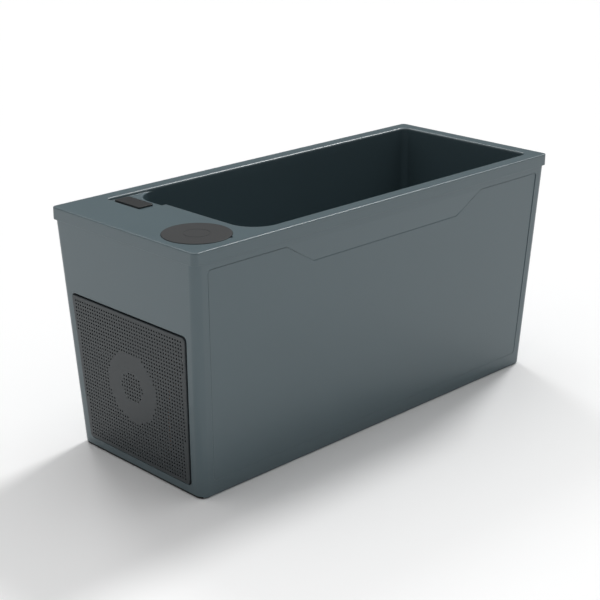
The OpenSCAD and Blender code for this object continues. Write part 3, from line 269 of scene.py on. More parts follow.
def turned(name, profile, place, steps=96):
    """A solid turned about the upright axis through place, from (radius, height) points that end on the axis."""
    points, faces, rows = [], [], []
    for radius, height in profile:
        count = 1 if radius <= HAIR else steps
        rows.append(list(range(len(points), len(points) + count)))
        for i in range(count):
            angle = 2 * math.pi * i / steps
            reach = radius if count > 1 else 0
            points.append(place + Vector((reach * math.cos(angle), reach * math.sin(angle), height)))
    for low, high in zip(rows, rows[1:]):
        for i in range(steps):
            j = (i + 1) % steps
            ring = [low[i % len(low)], low[j % len(low)], high[j % len(high)], high[i % len(high)]]
            face = [v for at, v in enumerate(ring) if v != ring[at - 1]]
            if len(face) > 2:
                faces.append(face)
    return mesh_object(name, points, faces)


def block(name, low, high):
    """A plain box between two corners, for cutting."""
    ring = [(low[0], low[1]), (high[0], low[1]), (high[0], high[1]), (low[0], high[1])]
    return loft(name, [level(ring, low[2]), level(ring, high[2])])


def rod(name, start, end, radius, steps=48):
    """A plain round bar between two points, for cutting."""
    along = (end - start).normalized()
    side = along.orthogonal().normalized()
    up = along.cross(side)
    angles = [2 * math.pi * i / steps for i in range(steps)]
    wheel = [side * math.cos(a) + up * math.sin(a) for a in angles]
    return loft(name, [[p + w * radius for w in wheel] for p in (start, end)])


def upright(name, at, low, high, radius, steps=48):
    """A plain upright bar between two heights, for cutting."""
    return rod(name, Vector((at.x, at.y, low)), Vector((at.x, at.y, high)), radius, steps)


def carve(base, cutters=(), joined=(), within=()):
    """Trims the base to what lies within solids, joins others to it, then cuts others out of it."""
    for operation, others in (("INTERSECT", within), ("UNION", joined), ("DIFFERENCE", cutters)):
        for other in others:
            step = base.modifiers.new("carve", "BOOLEAN")
            step.operation = operation
            step.solver = "MANIFOLD"
            step.object = other
    bpy.context.view_layer.update()
    graph = bpy.context.evaluated_depsgraph_get()
    mesh = bpy.data.meshes.new_from_object(base.evaluated_get(graph))
    base.modifiers.clear()
    base.data = mesh
    for other in (*within, *joined, *cutters):
        bpy.data.objects.remove(other)
    return base


def dress(piece, skin, body, replaced=()):
    """Gives a piece its shading, material and body, and hides the parts it replaces."""
    piece.data.materials.clear()
    piece.data.materials.append(skin)
    piece.data.polygons.foreach_set("use_smooth", [True] * len(piece.data.polygons))
    piece.data.set_sharp_from_angle(angle=SHARP)
    shade = piece.modifiers.new("even shading", "WEIGHTED_NORMAL")
    shade.keep_sharp = True
    shade.weight = 100
    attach(piece, body)
    if replaced:
        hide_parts(*replaced)
    return piece


# Materials


def surface_group():
    """Shader group for a finish with a fine grain and broad, faint mottling."""
    name = "moulded_surface"
    if name in bpy.data.node_groups:
        return bpy.data.node_groups[name]
    group = bpy.data.node_groups.new(name, "ShaderNodeTree")
    for label, kind, default in (
        ("Colour", "NodeSocketColor", (0.5, 0.5, 0.5, 1)),
        ("Mottle", "NodeSocketFloat", 0.06),
        ("Mottle Scale", "NodeSocketFloat", 6.0),
        ("Roughness", "NodeSocketFloat", 0.45),
        ("Roughness Spread", "NodeSocketFloat", 0.05),
        ("Grain Scale", "NodeSocketFloat", 900.0),
    ):
        socket = group.interface.new_socket(label, in_out="INPUT", socket_type=kind)
        socket.default_value = default
    results = (("Colour", "NodeSocketColor"), ("Roughness", "NodeSocketFloat"), ("Height", "NodeSocketFloat"))
    for label, kind in results:
        group.interface.new_socket(label, in_out="OUTPUT", socket_type=kind)
    nodes, links = group.nodes, group.links
    source = nodes.new("NodeGroupInput")
    result = nodes.new("NodeGroupOutput")
    place = nodes.new("ShaderNodeTexCoord")
    broad = nodes.new("ShaderNodeTexNoise")
    broad.inputs["Detail"].default_value = 4
    fine = nodes.new("ShaderNodeTexNoise")
    fine.inputs["Detail"].default_value = 2
    links.new(place.outputs["Object"], broad.inputs["Vector"])
    links.new(place.outputs["Object"], fine.inputs["Vector"])
    links.new(source.outputs["Mottle Scale"], broad.inputs["Scale"])
    links.new(source.outputs["Grain Scale"], fine.inputs["Scale"])

    def maths(operation, first, second):
        """Output of a math node on two values or sockets."""
        node = nodes.new("ShaderNodeMath")
        node.operation = operation
        for socket, value in zip(node.inputs, (first, second)):
            if isinstance(value, (int, float)):
                socket.default_value = value
            else:
                links.new(value, socket)
        return node.outputs[0]

    swing = maths("SUBTRACT", broad.outputs["Fac"], 0.5)
    bright = maths("ADD", maths("MULTIPLY", swing, source.outputs["Mottle"]), 1.0)
    tint = nodes.new("ShaderNodeVectorMath")
    tint.operation = "SCALE"
    links.new(source.outputs["Colour"], tint.inputs[0])
    links.new(bright, tint.inputs["Scale"])
    links.new(tint.outputs[0], result.inputs["Colour"])
    rough = maths("ADD", maths("MULTIPLY", swing, source.outputs["Roughness Spread"]), source.outputs["Roughness"])
    links.new(rough, result.inputs["Roughness"])
    links.new(fine.outputs["Fac"], result.inputs["Height"])
    return group


def finish_material(
    name, tint, roughness, *, mottle=0.06, mottle_scale=6.0, grain=900.0, relief=0.00002,
    metallic=0.0, specular=0.5, coat=0.0,
):
    """A material on the shared surface group, with its own colour, gloss and grain."""
    made = bpy.data.materials.new(name)
    made.use_nodes = True
    nodes, links = made.node_tree.nodes, made.node_tree.links
    shader = nodes["Principled BSDF"]
    group = nodes.new("ShaderNodeGroup")
    group.node_tree = surface_group()
    bump = nodes.new("ShaderNodeBump")
    surface = {
        "Colour": (*tint, 1), "Mottle": mottle, "Mottle Scale": mottle_scale,
        "Roughness": roughness, "Roughness Spread": 0.05, "Grain Scale": grain,
    }
    gloss = {"Metallic": metallic, "Specular IOR Level": specular, "Coat Weight": coat, "Coat Roughness": 0.1}
    for node, values in ((group, surface), (bump, {"Strength": 1, "Distance": relief}), (shader, gloss)):
        for label, value in values.items():
            node.inputs[label].default_value = value
    links.new(group.outputs["Colour"], shader.inputs["Base Color"])
    links.new(group.outputs["Roughness"], shader.inputs["Roughness"])
    links.new(group.outputs["Height"], bump.inputs["Height"])
    links.new(bump.outputs["Normal"], shader.inputs["Normal"])
    return made


def material(name):
    """One of the tub's materials, made when it is first asked for."""
    if name in bpy.data.materials:
        return bpy.data.materials[name]
    tints = bpy.context.scene.tub_finishes
    tint, roughness, more = {
        "slate plastic": (tints.body, 0.3, dict(mottle=0.05, grain=1100, specular=0.65)),
        "grille coat": (tints.grille, 0.45, dict(mottle=0.05, grain=1600)),
        "lid plastic": (tints.lid, 0.48, dict(mottle=0.05, grain=1100, specular=0.35)),
        "touch glass": (tints.glass, 0.28, dict(mottle=0.03, relief=0.0, coat=0.15)),
        "black plastic": (tints.black, 0.45, dict(mottle=0.1)),
        "rubber": (tints.rubber, 0.8, dict(mottle=0.2, grain=600)),
        "foam": (tints.foam, 0.95, dict(mottle=0.2, mottle_scale=20, grain=260, relief=0.0006)),
        "black coat": (tints.black, 0.4, dict(mottle=0.08, grain=1500)),
        "zinc": (tints.zinc, 0.35, dict(mottle=0.25, mottle_scale=60, metallic=1.0)),
        "copper": (tints.copper, 0.3, dict(mottle=0.25, mottle_scale=30, metallic=1.0)),
        "fins": (tints.fins, 0.4, dict(mottle=0.15, mottle_scale=80, metallic=1.0)),
        "pipe": (tints.pipe, 0.35, dict(mottle=0.04)),
        "filter cloth": (tints.cloth, 0.95, dict(mottle=0.1, grain=1400, relief=0.0002)),
        "grey fitting": (tints.fitting, 0.42, {}),
        "red handle": (tints.handle, 0.42, dict(mottle=0.08)),
    }[name]
    return finish_material(name, tint, roughness, **more)


# The shell's form: flat walls that lean out up to the lip


class ShellForm:
    """The leaning walls of the shell, and the frames in which their features are drawn."""

    def __init__(self, s):
        self.s = s
        self.lip_z = TUB_HEIGHT - s.lip_height
        self.deck_z = TUB_HEIGHT - s.deck_wall
        self.end_lean = math.atan((s.deck_end_in - s.lip_over) / self.lip_z)
        self.side_lean = math.atan((s.side_in - s.lip_over) / self.lip_z)

    def down(self, z):
        """Share of the way from the lip down to the floor."""
        return max(0, self.lip_z - z) / self.lip_z

    def x0(self, z):
        """Face of the deck end at the height z."""
        return -TUB_LENGTH / 2 + self.s.lip_over + (self.s.deck_end_in - self.s.lip_over) * self.down(z)

    def x1(self, z):
        """Face of the basin end."""
        return TUB_LENGTH / 2 - self.s.lip_over - (self.s.basin_end_in - self.s.lip_over) * self.down(z)

    def y(self, z):
        """Half the width across the long sides."""
        return TUB_WIDTH / 2 - self.s.lip_over - (self.s.side_in - self.s.lip_over) * self.down(z)

    def ring(self, z, deep):
        """Level ring of the shell, a distance deep inside its outer face."""
        radius = max(self.s.shell_radius - deep, self.s.edge_radius)
        x0, x1, y = self.x0(z) + deep, self.x1(z) - deep, self.y(z) - deep
        return level(rounded(rectangle(x0, x1, -y, y, [radius] * 4)), z)

    def on_end(self, u, v, out):
        """A place on the deck end: u to the right as seen from outside, v up the wall, out from it."""
        s, c = math.sin(self.end_lean), math.cos(self.end_lean)
        return Vector((self.x0(0) - s * v - c * out, -u, c * v - s * out))

    def on_side(self, u, v, out, far=False):
        """A place on the photographed side, or on the far one."""
        s, c = math.sin(self.side_lean), math.cos(self.side_lean)
        y = -self.y(0) - s * v - c * out
        return Vector((u, -y if far else y, c * v - s * out))

    def grille_corners(self):
        """Corners of the grille opening, in the deck end's frame."""
        s = self.s
        low, high = s.grille_low / math.cos(self.end_lean), s.grille_high / math.cos(self.end_lean)
        wide, narrow = self.y(s.grille_high) - s.grille_margin, self.y(s.grille_low) - s.grille_margin
        r = s.grille_radius
        return [(wide, high, r), (-wide, high, r), (-narrow, low, r), (narrow, low, r)]


def panel_cutters(form, far):
    """What is cut from a long side: the recessed panel with its soft edge, and the scoop above it."""
    s = form.s
    heights = s.panel_low, form.lip_z - s.panel_drop
    low, top = (z / math.cos(form.side_lean) for z in heights)
    left = [form.x0(z) + s.panel_margin for z in heights]
    right = [form.x1(z) - s.panel_margin for z in heights]
    run, scoop_v = top - low, top - s.scoop_height
    r, blend, wide, narrow = s.panel_radius, s.panel_radius / 2, s.scoop_top / 2, s.scoop_foot / 2
    outline = [
        (left[0], low, r), (right[0], low, r), (right[1], top, r), (wide, top, r),
        (narrow, scoop_v, blend), (-narrow, scoop_v, blend), (-wide, top, r), (left[1], top, r),
    ]

    def depth(v):
        """Depth of the panel, which fades towards its foot."""
        return s.panel_foot_depth + (s.panel_depth - s.panel_foot_depth) * (v - low) / run

    def groove(u, v):
        """Depth of the groove at the panel's edge. It dies out down the scoop's ends and towards the foot."""
        foot_share = 0.3
        if abs(u) < wide and v > scoop_v - blend:
            share = max(0.0, (abs(u) - narrow) / (wide - narrow))
        else:
            share = foot_share + (1 - foot_share) * (v - low) / run
        return s.panel_groove * share

    # Steps from the panel's face through the groove to the edge: distance inward, share of the panel's depth and
    # share of the groove's.
    edge_share = 0.4
    profile = [(0.0030, 1, 0), (0.0023, 1, 1), (0.0010, 1, 1), (0.0003, 1, 0.7)]
    profile += [(-out, edge_share * down / s.panel_edge, 0) for out, down in round_over(s.panel_edge, 4)]
    rings = []
    for inward, sunk, cut in profile:
        points = rounded(inset(outline, inward))
        rings.append([form.on_side(u, v, -sunk * depth(v) - cut * groove(u, v) - HAIR, far) for u, v in points])
    rings.append([form.on_side(u, v, OVERRUN, far) for u, v in points])
    panel = loft("panel cut", rings)

    fall = s.scoop_depth / s.scoop_height
    corners = [(wide, top, HAIR), (-wide, top, HAIR), (-narrow, scoop_v, blend), (narrow, scoop_v, blend)]
    # Steps of the ledge round the scoop: how far beyond its outline, and how far out of its floor.
    ledge = ((0, 0), (0.0010, 0.0003), (0.0024, 0.0012), (0.0034, 0.0026), (0.0034, 0.02))
    rings = []
    for beyond, lift in ledge:
        points = [(u, min(v, top)) for u, v in rounded(inset(corners, -beyond), 6)]
        rings.append([form.on_side(u, v, -max(0, top - v) * fall + lift, far) for u, v in points])
    return [panel, loft("scoop cut", rings)]


def frame_mount(name):
    """Place of one of the record's mounts."""
    for mount in frame["record"]["mounts"]:
        if mount["name"] == name:
            return Vector(mount["pos_m"])
    raise KeyError(name)


def pipe_height():
    """Height of the drain pipe's axis."""
    return frame_mount("drain_outlet").z


def niche_box():
    """Corners of the drain niche in the basin end, which runs out through the wall."""
    half_wide, half_high, reach = 0.070, 0.045, 0.130  # the last one past the wall
    x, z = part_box("drain_valve")[0].x, pipe_height()
    return Vector((x, -half_wide, z - half_high)), Vector((x + reach, half_wide, z + half_high))


def niche_cutter(form):
    """The niche with a soft edge where it meets the leaning wall."""
    corner, soft, steps = 0.008, 0.003, 8
    low, high = niche_box()
    corners = rectangle(low.y, high.y, low.z, high.z, [corner] * 4)

    def mouth(out, wider):
        """Outline of the niche, out from the wall and wider all round."""
        return [Vector((form.x1(z) + out, y, z)) for y, z in rounded(inset(corners, -wider), steps)]

    back = [Vector((low.x, y, z)) for y, z in rounded(corners, steps)]
    return loft("niche", [back] + flared(mouth, 0, soft))


def toe_cutter(form):
    """The gap under the deck end, which closes towards the tub's corners."""
    s = form.s
    half, wide = form.y(0) - s.shell_radius / 3, form.y(0) + OVERRUN
    side = s.toe_gap / 4
    gate = [(-wide, -OVERRUN), (wide, -OVERRUN), (wide, side), (half, s.toe_gap), (-half, s.toe_gap), (-wide, side)]
    before, past_corner = 0.02, 0.001
    ends = form.x0(0) - before, form.x0(0) + s.shell_radius + past_corner
    return loft("toe", [[Vector((x, y, z)) for y, z in gate] for x in ends])


def build_shell(s):
    """The moulded outer shell, with its recessed side panels, scoops, grille opening, drain niche and toe gap."""
    form = ShellForm(s)
    tuck = s.skirt + FIT - s.lip_over
    rings = [form.ring(up, inward) for inward, up in reversed(round_over(s.foot_radius))]
    rings += [form.ring(form.lip_z, 0), form.ring(form.lip_z, tuck), form.ring(form.deck_z, tuck)]
    shell = loft("shell", rings)
    pad_h, flange = 0.010, 0.034
    inner = loft("inner", [form.ring(z, s.shell_wall) for z in (pad_h, form.lip_z, form.deck_z + OVERRUN)])
    underside = loft("underside", [form.ring(z, s.shell_wall + flange) for z in (-OVERRUN, pad_h + OVERRUN)])
    carve(shell, [inner, underside])

    corners = form.grille_corners()
    ledge_depth, ledge_thick, ledge_wide, surround, soft = 0.014, 0.005, 0.024, 0.006, 0.0014
    back = -ledge_depth - ledge_thick

    def opening(out, wider):
        """Outline of the grille opening, out from the wall and wider all round."""
        return [form.on_end(u, v, out) for u, v in rounded(inset(corners, -wider))]

    grille_wall = loft("surround", [opening(back, surround), opening(-s.shell_wall / 2, surround)])
    mouth = loft("mouth", [opening(-ledge_depth, 0)] + flared(opening, 0, soft))
    bore_outline = rounded([(x, y, s.grille_radius) for x, y, _ in inset(corners, ledge_wide)])
    bore_ends = back - OVERRUN, -ledge_depth + OVERRUN
    bore = loft("bore", [[form.on_end(u, v, out) for u, v in bore_outline] for out in bore_ends])

    low, high = niche_box()
    wall, short, skin = 0.004, 0.03, 0.0005
    trim = loft("trim", [form.ring(s.edge_radius, skin), form.ring(form.lip_z, skin)])
    niche_wall = block("niche wall", low - Vector((wall, wall, wall)), high + Vector((-short, wall, wall)))
    carve(niche_wall, within=[trim])
    drain_at, drain_half, drain_r = Vector((low.x, 0, pipe_height())), Vector((0.01, 0, 0)), 0.0145
    drain = rod("drain", drain_at - drain_half, drain_at + drain_half, drain_r)

    mid, wide, tall, inward, outward = middle("power_inlet"), 0.024 + FIT, 0.014 + FIT, 0.03, 0.06
    inlet = block("inlet", mid - Vector((wide, inward, tall)), mid + Vector((wide, outward, tall)))
    cutters = [mouth, bore, niche_cutter(form), toe_cutter(form), inlet, drain]
    carve(shell, cutters, [grille_wall, niche_wall])
    carve(shell, panel_cutters(form, False) + panel_cutters(form, True))
    shell.name = "moulded_shell"
    return dress(shell, material("slate plastic"), "tub", ["outer_shell"])


def build_toe_shade_strip(s):
    """A dark rubber strip that closes the toe gap, a little behind the wall's face: painted shade standing in for the
    shadow inside the gap.
    """
    form = ShellForm(s)
    deep, thick = 0.0035, 0.003
    low, high = 0.0006, s.toe_gap - 0.0004  # clear of the floor and of the shell
    wrap, steps = math.radians(52), 8  # how far it follows each corner
    x0, y, r = form.x0(0) + deep, form.y(0) - deep, s.shell_radius - deep
    path = []
    for i in range(steps + 1):
        a = wrap * (1 - i / steps)
        path.append((x0 + r * (1 - math.cos(a)), -y + r - r * math.sin(a), -math.cos(a), -math.sin(a)))
    path += [(x, -v, nx, -ny) for x, v, nx, ny in reversed(path)]
    section = ((0, low), (0, high), (thick, high), (thick, low))
    rings = [[Vector((x - nx * t, v - ny * t, z)) for t, z in section] for x, v, nx, ny in path]
    return dress(loft("toe_shade_strip", rings), material("rubber"), "tub")


# Basin


class BasinForm:
    """Rings of the basin, the control pocket and the lip."""

    def __init__(self, s):
        self.s = s
        self.x0 = s.deck - TUB_LENGTH / 2
        self.x1 = TUB_LENGTH / 2 - s.rim
        self.y = TUB_WIDTH / 2 - s.rim
        self.floor = TUB_HEIGHT - s.depth
        self.pocket_floor = TUB_HEIGHT - s.pocket_depth

    def wall(self, z, out, tuck=0.0):
        """Ring of the basin's wall, moved outward by out, and inward by tuck for the floor's round."""
        s = self.s
        g = out - tuck - s.draft * max(0, TUB_HEIGHT - z)
        near, far = s.deck_corner + out - tuck / 2, s.far_corner + out
        corners = rectangle(self.x0 - g, self.x1 + g, -self.y - g, self.y + g, [far, near, near, far])
        return level(rounded(corners), z)

    def bowl(self, out):
        """Rings from the floor up through its round."""
        floor_round = round_over(self.s.floor_radius + out, 12)
        return [self.wall(self.floor - out + rise, out, tuck) for rise, tuck in floor_round]

    def pocket(self, z, out):
        """Ring of the control pocket, moved outward by out. It runs on into the basin."""
        s = self.s
        x0, x1 = self.x0 - s.pocket_length - out, self.x0 + s.deck_corner + s.pocket_radius * 2 + out
        corners = rectangle(x0, x1, self.y - s.pocket_width - out, self.y + out, [s.pocket_radius + out] * 4)
        return level(rounded(corners), z)

    def lip(self, z, deep):
        """Ring of the lip, a distance deep inside its outer face."""
        r = self.s.lip_radius - deep
        x, y = TUB_LENGTH / 2 - deep, TUB_WIDTH / 2 - deep
        return level(rounded(rectangle(-x, x, -y, y, [r] * 4)), z)


def build_liner(s):
    """The top moulding: lip, rim, deck, control pocket, filter seat and basin."""
    b = BasinForm(s)
    lip_z, deck_z = TUB_HEIGHT - s.lip_height, TUB_HEIGHT - s.deck_wall
    lip_foot_radius = 0.0012
    rings = [b.lip(lip_z + up, inward) for inward, up in reversed(round_over(lip_foot_radius, 3))]
    rings += [b.lip(TUB_HEIGHT - down, inward) for inward, down in round_over(s.edge_radius, 8)]
    liner = loft("liner", rings)
    hollow = loft("hollow", [b.lip(lip_z - OVERRUN, s.skirt), b.lip(deck_z, s.skirt)])
    carve(liner, [hollow])

    top = deck_z + s.deck_wall / 2
    bowl = loft("bowl", b.bowl(s.liner_wall) + [b.wall(top, s.liner_wall)])
    pan = loft("pan", [b.pocket(b.pocket_floor - s.liner_wall, s.liner_wall), b.pocket(top, s.liner_wall)])

    basin = loft("basin", b.bowl(0) + flared(b.wall, TUB_HEIGHT, s.rim_radius))
    pocket_foot_radius = 0.002
    pocket_foot = [b.pocket(b.pocket_floor + rise, -tuck) for rise, tuck in round_over(pocket_foot_radius, 4)]
    pocket = loft("pocket", pocket_foot + flared(b.pocket, TUB_HEIGHT, s.rim_radius))
    spill = loft("spill", flared(b.wall, b.pocket_floor, s.edge_radius))
    pocket_low = (b.x0 - s.pocket_length, b.y - s.pocket_width, b.pocket_floor - 2 * s.edge_radius)
    limit = block("limit", pocket_low, (b.x0 + s.deck_corner, b.y, b.pocket_floor + OVERRUN))
    carve(spill, within=[limit])

    lid = middle("filter_lid")
    lid_r, seat_z = extent("filter_lid").x / 2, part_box("lid_gasket")[0].z
    seat_r, seat_soft, ledge, boss_wall, boss_floor, through = lid_r + FIT, 0.0012, 0.014, 0.007, 0.008, 0.001
    boss = upright("boss", lid, seat_z - boss_floor, top, lid_r + boss_wall, 96)
    profile = [(0, seat_z), (seat_r, seat_z)]
    profile += flared(lambda z, out: (seat_r + out, z), TUB_HEIGHT, seat_soft, 4)
    lid_at = Vector((lid.x, lid.y, 0))
    seat = turned("seat", profile + [(0, TUB_HEIGHT + OVERRUN)], lid_at)
    bore = upright("bore", lid, seat_z - boss_floor - 2 * OVERRUN, seat_z + through, lid_r - ledge, 96)
    notch_turn, notch_r, notch_deep = math.radians(-63), 0.008, 0.005
    notch_at = lid_at + Vector((math.cos(notch_turn), math.sin(notch_turn), 0)) * lid_r
    notch = upright("notch", notch_at, TUB_HEIGHT - notch_deep, TUB_HEIGHT + OVERRUN, notch_r)

    below = s.liner_wall + OVERRUN
    stem_at, waste_at = middle("display_housing"), middle("drain_fitting")
    stem = upright("stem", stem_at, b.pocket_floor - below, b.pocket_floor + through, TILE_STEM + FIT)
    waste_r, tail_r, tail_from, tail_to = 0.025 + FIT, 0.018 + FIT, b.x0 - 0.012, b.x0 + 0.024
    waste = upright("waste", waste_at, b.floor - below, b.floor + through, waste_r)
    tails = []
    for node in ("suction_grate", "return_nozzle"):
        at = middle(node)
        tails.append(rod("tail", Vector((tail_from, at.y, at.z)), Vector((tail_to, at.y, at.z)), tail_r))
    carve(liner, [basin, pocket, spill, seat, bore, notch, stem, waste, *tails], [bowl, pan, boss])
    liner.name = "basin_moulding"
    return dress(liner, material("slate plastic"), "tub", ["basin_liner"])


# Grille


def inside(point, outline):
    """Whether a point lies inside a closed outline."""
    x, y = point
    hit = False
    for i, (x1, y1) in enumerate(outline):
        x0, y0 = outline[i - 1]
        if (y0 > y) != (y1 > y) and x < (x1 - x0) * (y - y0) / (y1 - y0) + x0:
            hit = not hit
    return hit


def build_grille(s):
    """The perforated panel: a folded metal tray with a square grid of round holes and a plain ring."""
    form = ShellForm(s)
    corners = form.grille_corners()
    sheet, fold, depth, hole_soft, half_grid, nearest = 0.002, 0.0025, 0.0177, 0.0003, 0.3, 1e-7
    outer = inset(corners, s.grille_gap)
    middle_v = (s.grille_low + s.grille_high) / 2 / math.cos(form.end_lean)
    ring_v = s.ring_height / math.cos(form.end_lean)
    keep = rounded(inset(outer, s.hole_border + s.hole / 2))
    reach = int(half_grid / s.pitch) + 1
    centres = []
    for i in range(-reach, reach + 1):
        for j in range(-reach, reach + 1):
            p = (i * s.pitch, middle_v + j * s.pitch)
            off = math.hypot(p[0], p[1] - ring_v)
            if inside(p, keep) and (off > (s.ring_outer + s.hole) / 2 or off < (s.ring_inner - s.hole) / 2):
                centres.append(p)

    points, faces = [], []

    def add(outline, out):
        """Adds an outline's points at a distance out from the wall, and tells their numbers."""
        start = len(points)
        points.extend(form.on_end(u, v, out) for u, v in outline)
        return list(range(start, len(points)))

    def band(low, high):
        """Adds the faces between two rings."""
        n = len(low)
        faces.extend([low[j], low[(j + 1) % n], high[(j + 1) % n], high[j]] for j in range(n))

    def fill(rim, rim_points, holes):
        """Adds the flat face inside a rim and around its holes, on points that exist already."""
        spots = list(rim_points)
        index = list(rim)
        edges = [(j, (j + 1) % len(rim)) for j in range(len(rim))]
        for members, places in holes:
            first = len(spots)
            spots += places
            index += members
            edges += [(first + j, first + (j + 1) % len(members)) for j in range(len(members))]
        _, _, made, owner, _, _ = delaunay_2d_cdt([Vector(p) for p in spots], edges, [], 0, nearest)
        # The rim's points are in group 0 and each hole's in one of its own. A face within one hole stays open.
        group = [0] * len(rim) + [1 + i // s.hole_sides for i in range(len(spots) - len(rim))]
        for face in made:
            members = [owner[v][0] for v in face]
            groups = {group[m] for m in members}
            if len(groups) > 1 or groups == {0}:
                faces.append([index[m] for m in members])

    front_rim = rounded(inset(outer, fold))
    front = s.grille_proud
    back = front - sheet
    front_ring = add(front_rim, front)
    last = front_ring
    for down, inward in round_over(fold)[1:]:
        ring = add(rounded(inset(outer, inward)), front - down)
        band(last, ring)
        last = ring
    foot = add(rounded(outer), front - depth)
    band(last, foot)
    foot_in = add(rounded(inset(outer, sheet)), front - depth)
    band(foot, foot_in)
    inner = add(rounded(inset(outer, sheet)), back)
    band(foot_in, inner)

    wheel = [2 * math.pi * k / s.hole_sides for k in range(s.hole_sides)]
    front_holes, back_holes = [], []
    radii = s.hole / 2 + hole_soft, s.hole / 2
    for x, y in centres:
        wide, true = ([(x + r * math.cos(t), y + r * math.sin(t)) for t in wheel] for r in radii)
        edge, throat, end = add(wide, front), add(true, front - hole_soft), add(true, back)
        band(edge, throat)
        band(throat, end)
        front_holes.append((edge, wide))
        back_holes.append((end, true))
    fill(front_ring, front_rim, front_holes)
    fill(inner, rounded(inset(outer, sheet)), back_holes)
    panel = mesh_object("grille_sheet", points, faces)
    return dress(panel, material("grille coat"), "grille", ["grille_panel"])


# Deck pieces


def build_lid():
    """The filter lid: a shallow disc with a soft edge and a thin ring pressed into its middle."""
    low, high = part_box("filter_lid")
    mid = middle("filter_lid")
    radius, top = extent("filter_lid").x / 2, high.z
    soft, groove_r, groove, groove_deep, groove_steps = 0.0018, 0.041, 0.0011, 0.0009, 4
    seat_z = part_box("lid_gasket")[1].z
    spigot_r, spigot_wall, stem_r = radius - 0.0145, 0.005, 0.015
    spigot_in = spigot_r - spigot_wall
    profile = [
        (0, low.z), (stem_r, low.z), (stem_r, seat_z), (spigot_in, seat_z), (spigot_in, low.z),
        (spigot_r, low.z), (spigot_r, seat_z), (radius, seat_z),
    ]
    profile += [(radius - inward, top - down) for inward, down in round_over(soft)]
    for k in range(2 * groove_steps + 1):
        share = k / groove_steps - 1
        profile.append((groove_r - share * groove, top - groove_deep * (1 - share * share)))
    profile.append((0, top))
    lid = turned("filter_cap", profile, Vector((mid.x, mid.y, 0)), 128)
    return dress(lid, material("lid plastic"), "filter", ["filter_lid"])


def build_tile():
    """The touch tile in the control pocket: a dark housing with a flush glass."""
    corner, body_height, stem_overlap = 0.0065, 0.0053, 0.001
    glass_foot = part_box("display_glass")[0].z
    for node, name, skin, foot, soft, slot in (
        ("display_housing", "tile_housing", "black plastic", glass_foot - body_height, 0.0008, "tile_plastic"),
        ("display_glass", "tile_glass", "touch glass", glass_foot, 0.0005, "tile_glass"),
    ):
        low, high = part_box(node)
        corners = rectangle(low.x, high.x, low.y, high.y, [corner] * 4)
        rings = [level(rounded(corners), foot)]
        rings += [level(rounded(inset(corners, inward)), high.z - down) for inward, down in round_over(soft, 4)]
        piece = loft(name, rings)
        if node == "display_housing":
            carve(piece, joined=[upright("stem", middle(node), low.z, foot + stem_overlap, TILE_STEM)])
        dress(piece, material(skin), "tub", [node])


# Carried-over nodes


NODE_FINISHES = {
    "foam": ("foam_jacket",),
    "black coat": ("base_frame", "base_pan", "compressor"),
    "rubber": ("glide_pads", "grille_sockets", "lid_gasket", "compressor_mounts"),
    "zinc": ("shell_screws", "grille_studs", "bulkhead", "fan_motor"),
    "black plastic": (
        "filter_housing", "housing_base", "housing_flange", "display_nut", "fan_shroud", "fan_rotor",
        "circulation_pump", "heat_exchanger", "power_inlet", "suction_grate", "return_nozzle", "control_box",
    ),
    "fins": ("condenser",),
    "copper": ("discharge_line", "liquid_line", "suction_line"),
    "pipe": ("suction_pipe", "pressure_pipe", "filter_pipe", "return_pipe", "drain_pipe"),
    "filter cloth": ("filter_cartridge",),
    "grey fitting": ("drain_fitting", "drain_valve"),
    "red handle": ("drain_handle",),
}


def paint_nodes():
    """Gives the nodes whose own shape shows their materials."""
    for finish, nodes in NODE_FINISHES.items():
        for name in nodes:
            for place in frame["nodes"][name].material_slots:
                place.material = material(finish)


# Stage


FLOOR_HALF = 60  # half the floor's length
FLOOR_WHITE, FLOOR_ROUGHNESS = 0.92, 0.9
FRONT = (-0.60, -0.80, 0)  # towards the camera's side
# The camera was solved from the photograph. It looks DIP degrees below the horizon, and TURN degrees off +Y.
CAMERA_PLACE, CAMERA_DIP, CAMERA_TURN, CAMERA_LENS = (-3.3965, -3.3610, 2.1087), 19.817, -44.645, 85.28


def studio_world():
    """A pale room: white along the horizon, dimmer behind the tub than on the camera's side."""
    world = bpy.data.worlds.new("studio")
    world.use_nodes = True
    nodes, links = world.node_tree.nodes, world.node_tree.links
    place = nodes.new("ShaderNodeTexCoord")
    split = nodes.new("ShaderNodeSeparateXYZ")
    links.new(place.outputs["Generated"], split.inputs[0])
    front = nodes.new("ShaderNodeVectorMath")
    front.operation = "DOT_PRODUCT"
    links.new(place.outputs["Generated"], front.inputs[0])
    front.inputs[1].default_value = FRONT

    def ramp(value, *stops):
        """Output of a grey ramp through stops (place, level), the two ends first."""
        made = nodes.new("ShaderNodeValToRGB")
        links.new(value, made.inputs[0])
        steps = made.color_ramp.elements
        for i, (at, level) in enumerate(stops):
            step = steps[i] if i < 2 else steps.new(at)
            step.position, step.color = at, (level, level, level, 1)
        return made.outputs["Color"]

    shift = nodes.new("ShaderNodeMath")
    shift.operation = "MULTIPLY_ADD"
    links.new(front.outputs["Value"], shift.inputs[0])
    shift.inputs[1].default_value = 0.5
    shift.inputs[2].default_value = 0.5
    product = nodes.new("ShaderNodeVectorMath")
    product.operation = "MULTIPLY"
    upward = ramp(split.outputs["Z"], (0.0, 0.15), (1.0, 1.0), (0.5, 0.5))
    forward = ramp(shift.outputs[0], (0.0, 0.3), (1.0, 0.36), (0.5, 0.85))
    horizon = ramp(split.outputs["Z"], (0.03, 0.8), (0.08, 0.0))
    links.new(upward, product.inputs[0])
    links.new(forward, product.inputs[1])
    total = nodes.new("ShaderNodeVectorMath")
    links.new(product.outputs[0], total.inputs[0])
    links.new(horizon, total.inputs[1])
    links.new(total.outputs[0], nodes["Background"].inputs["Color"])
    return world


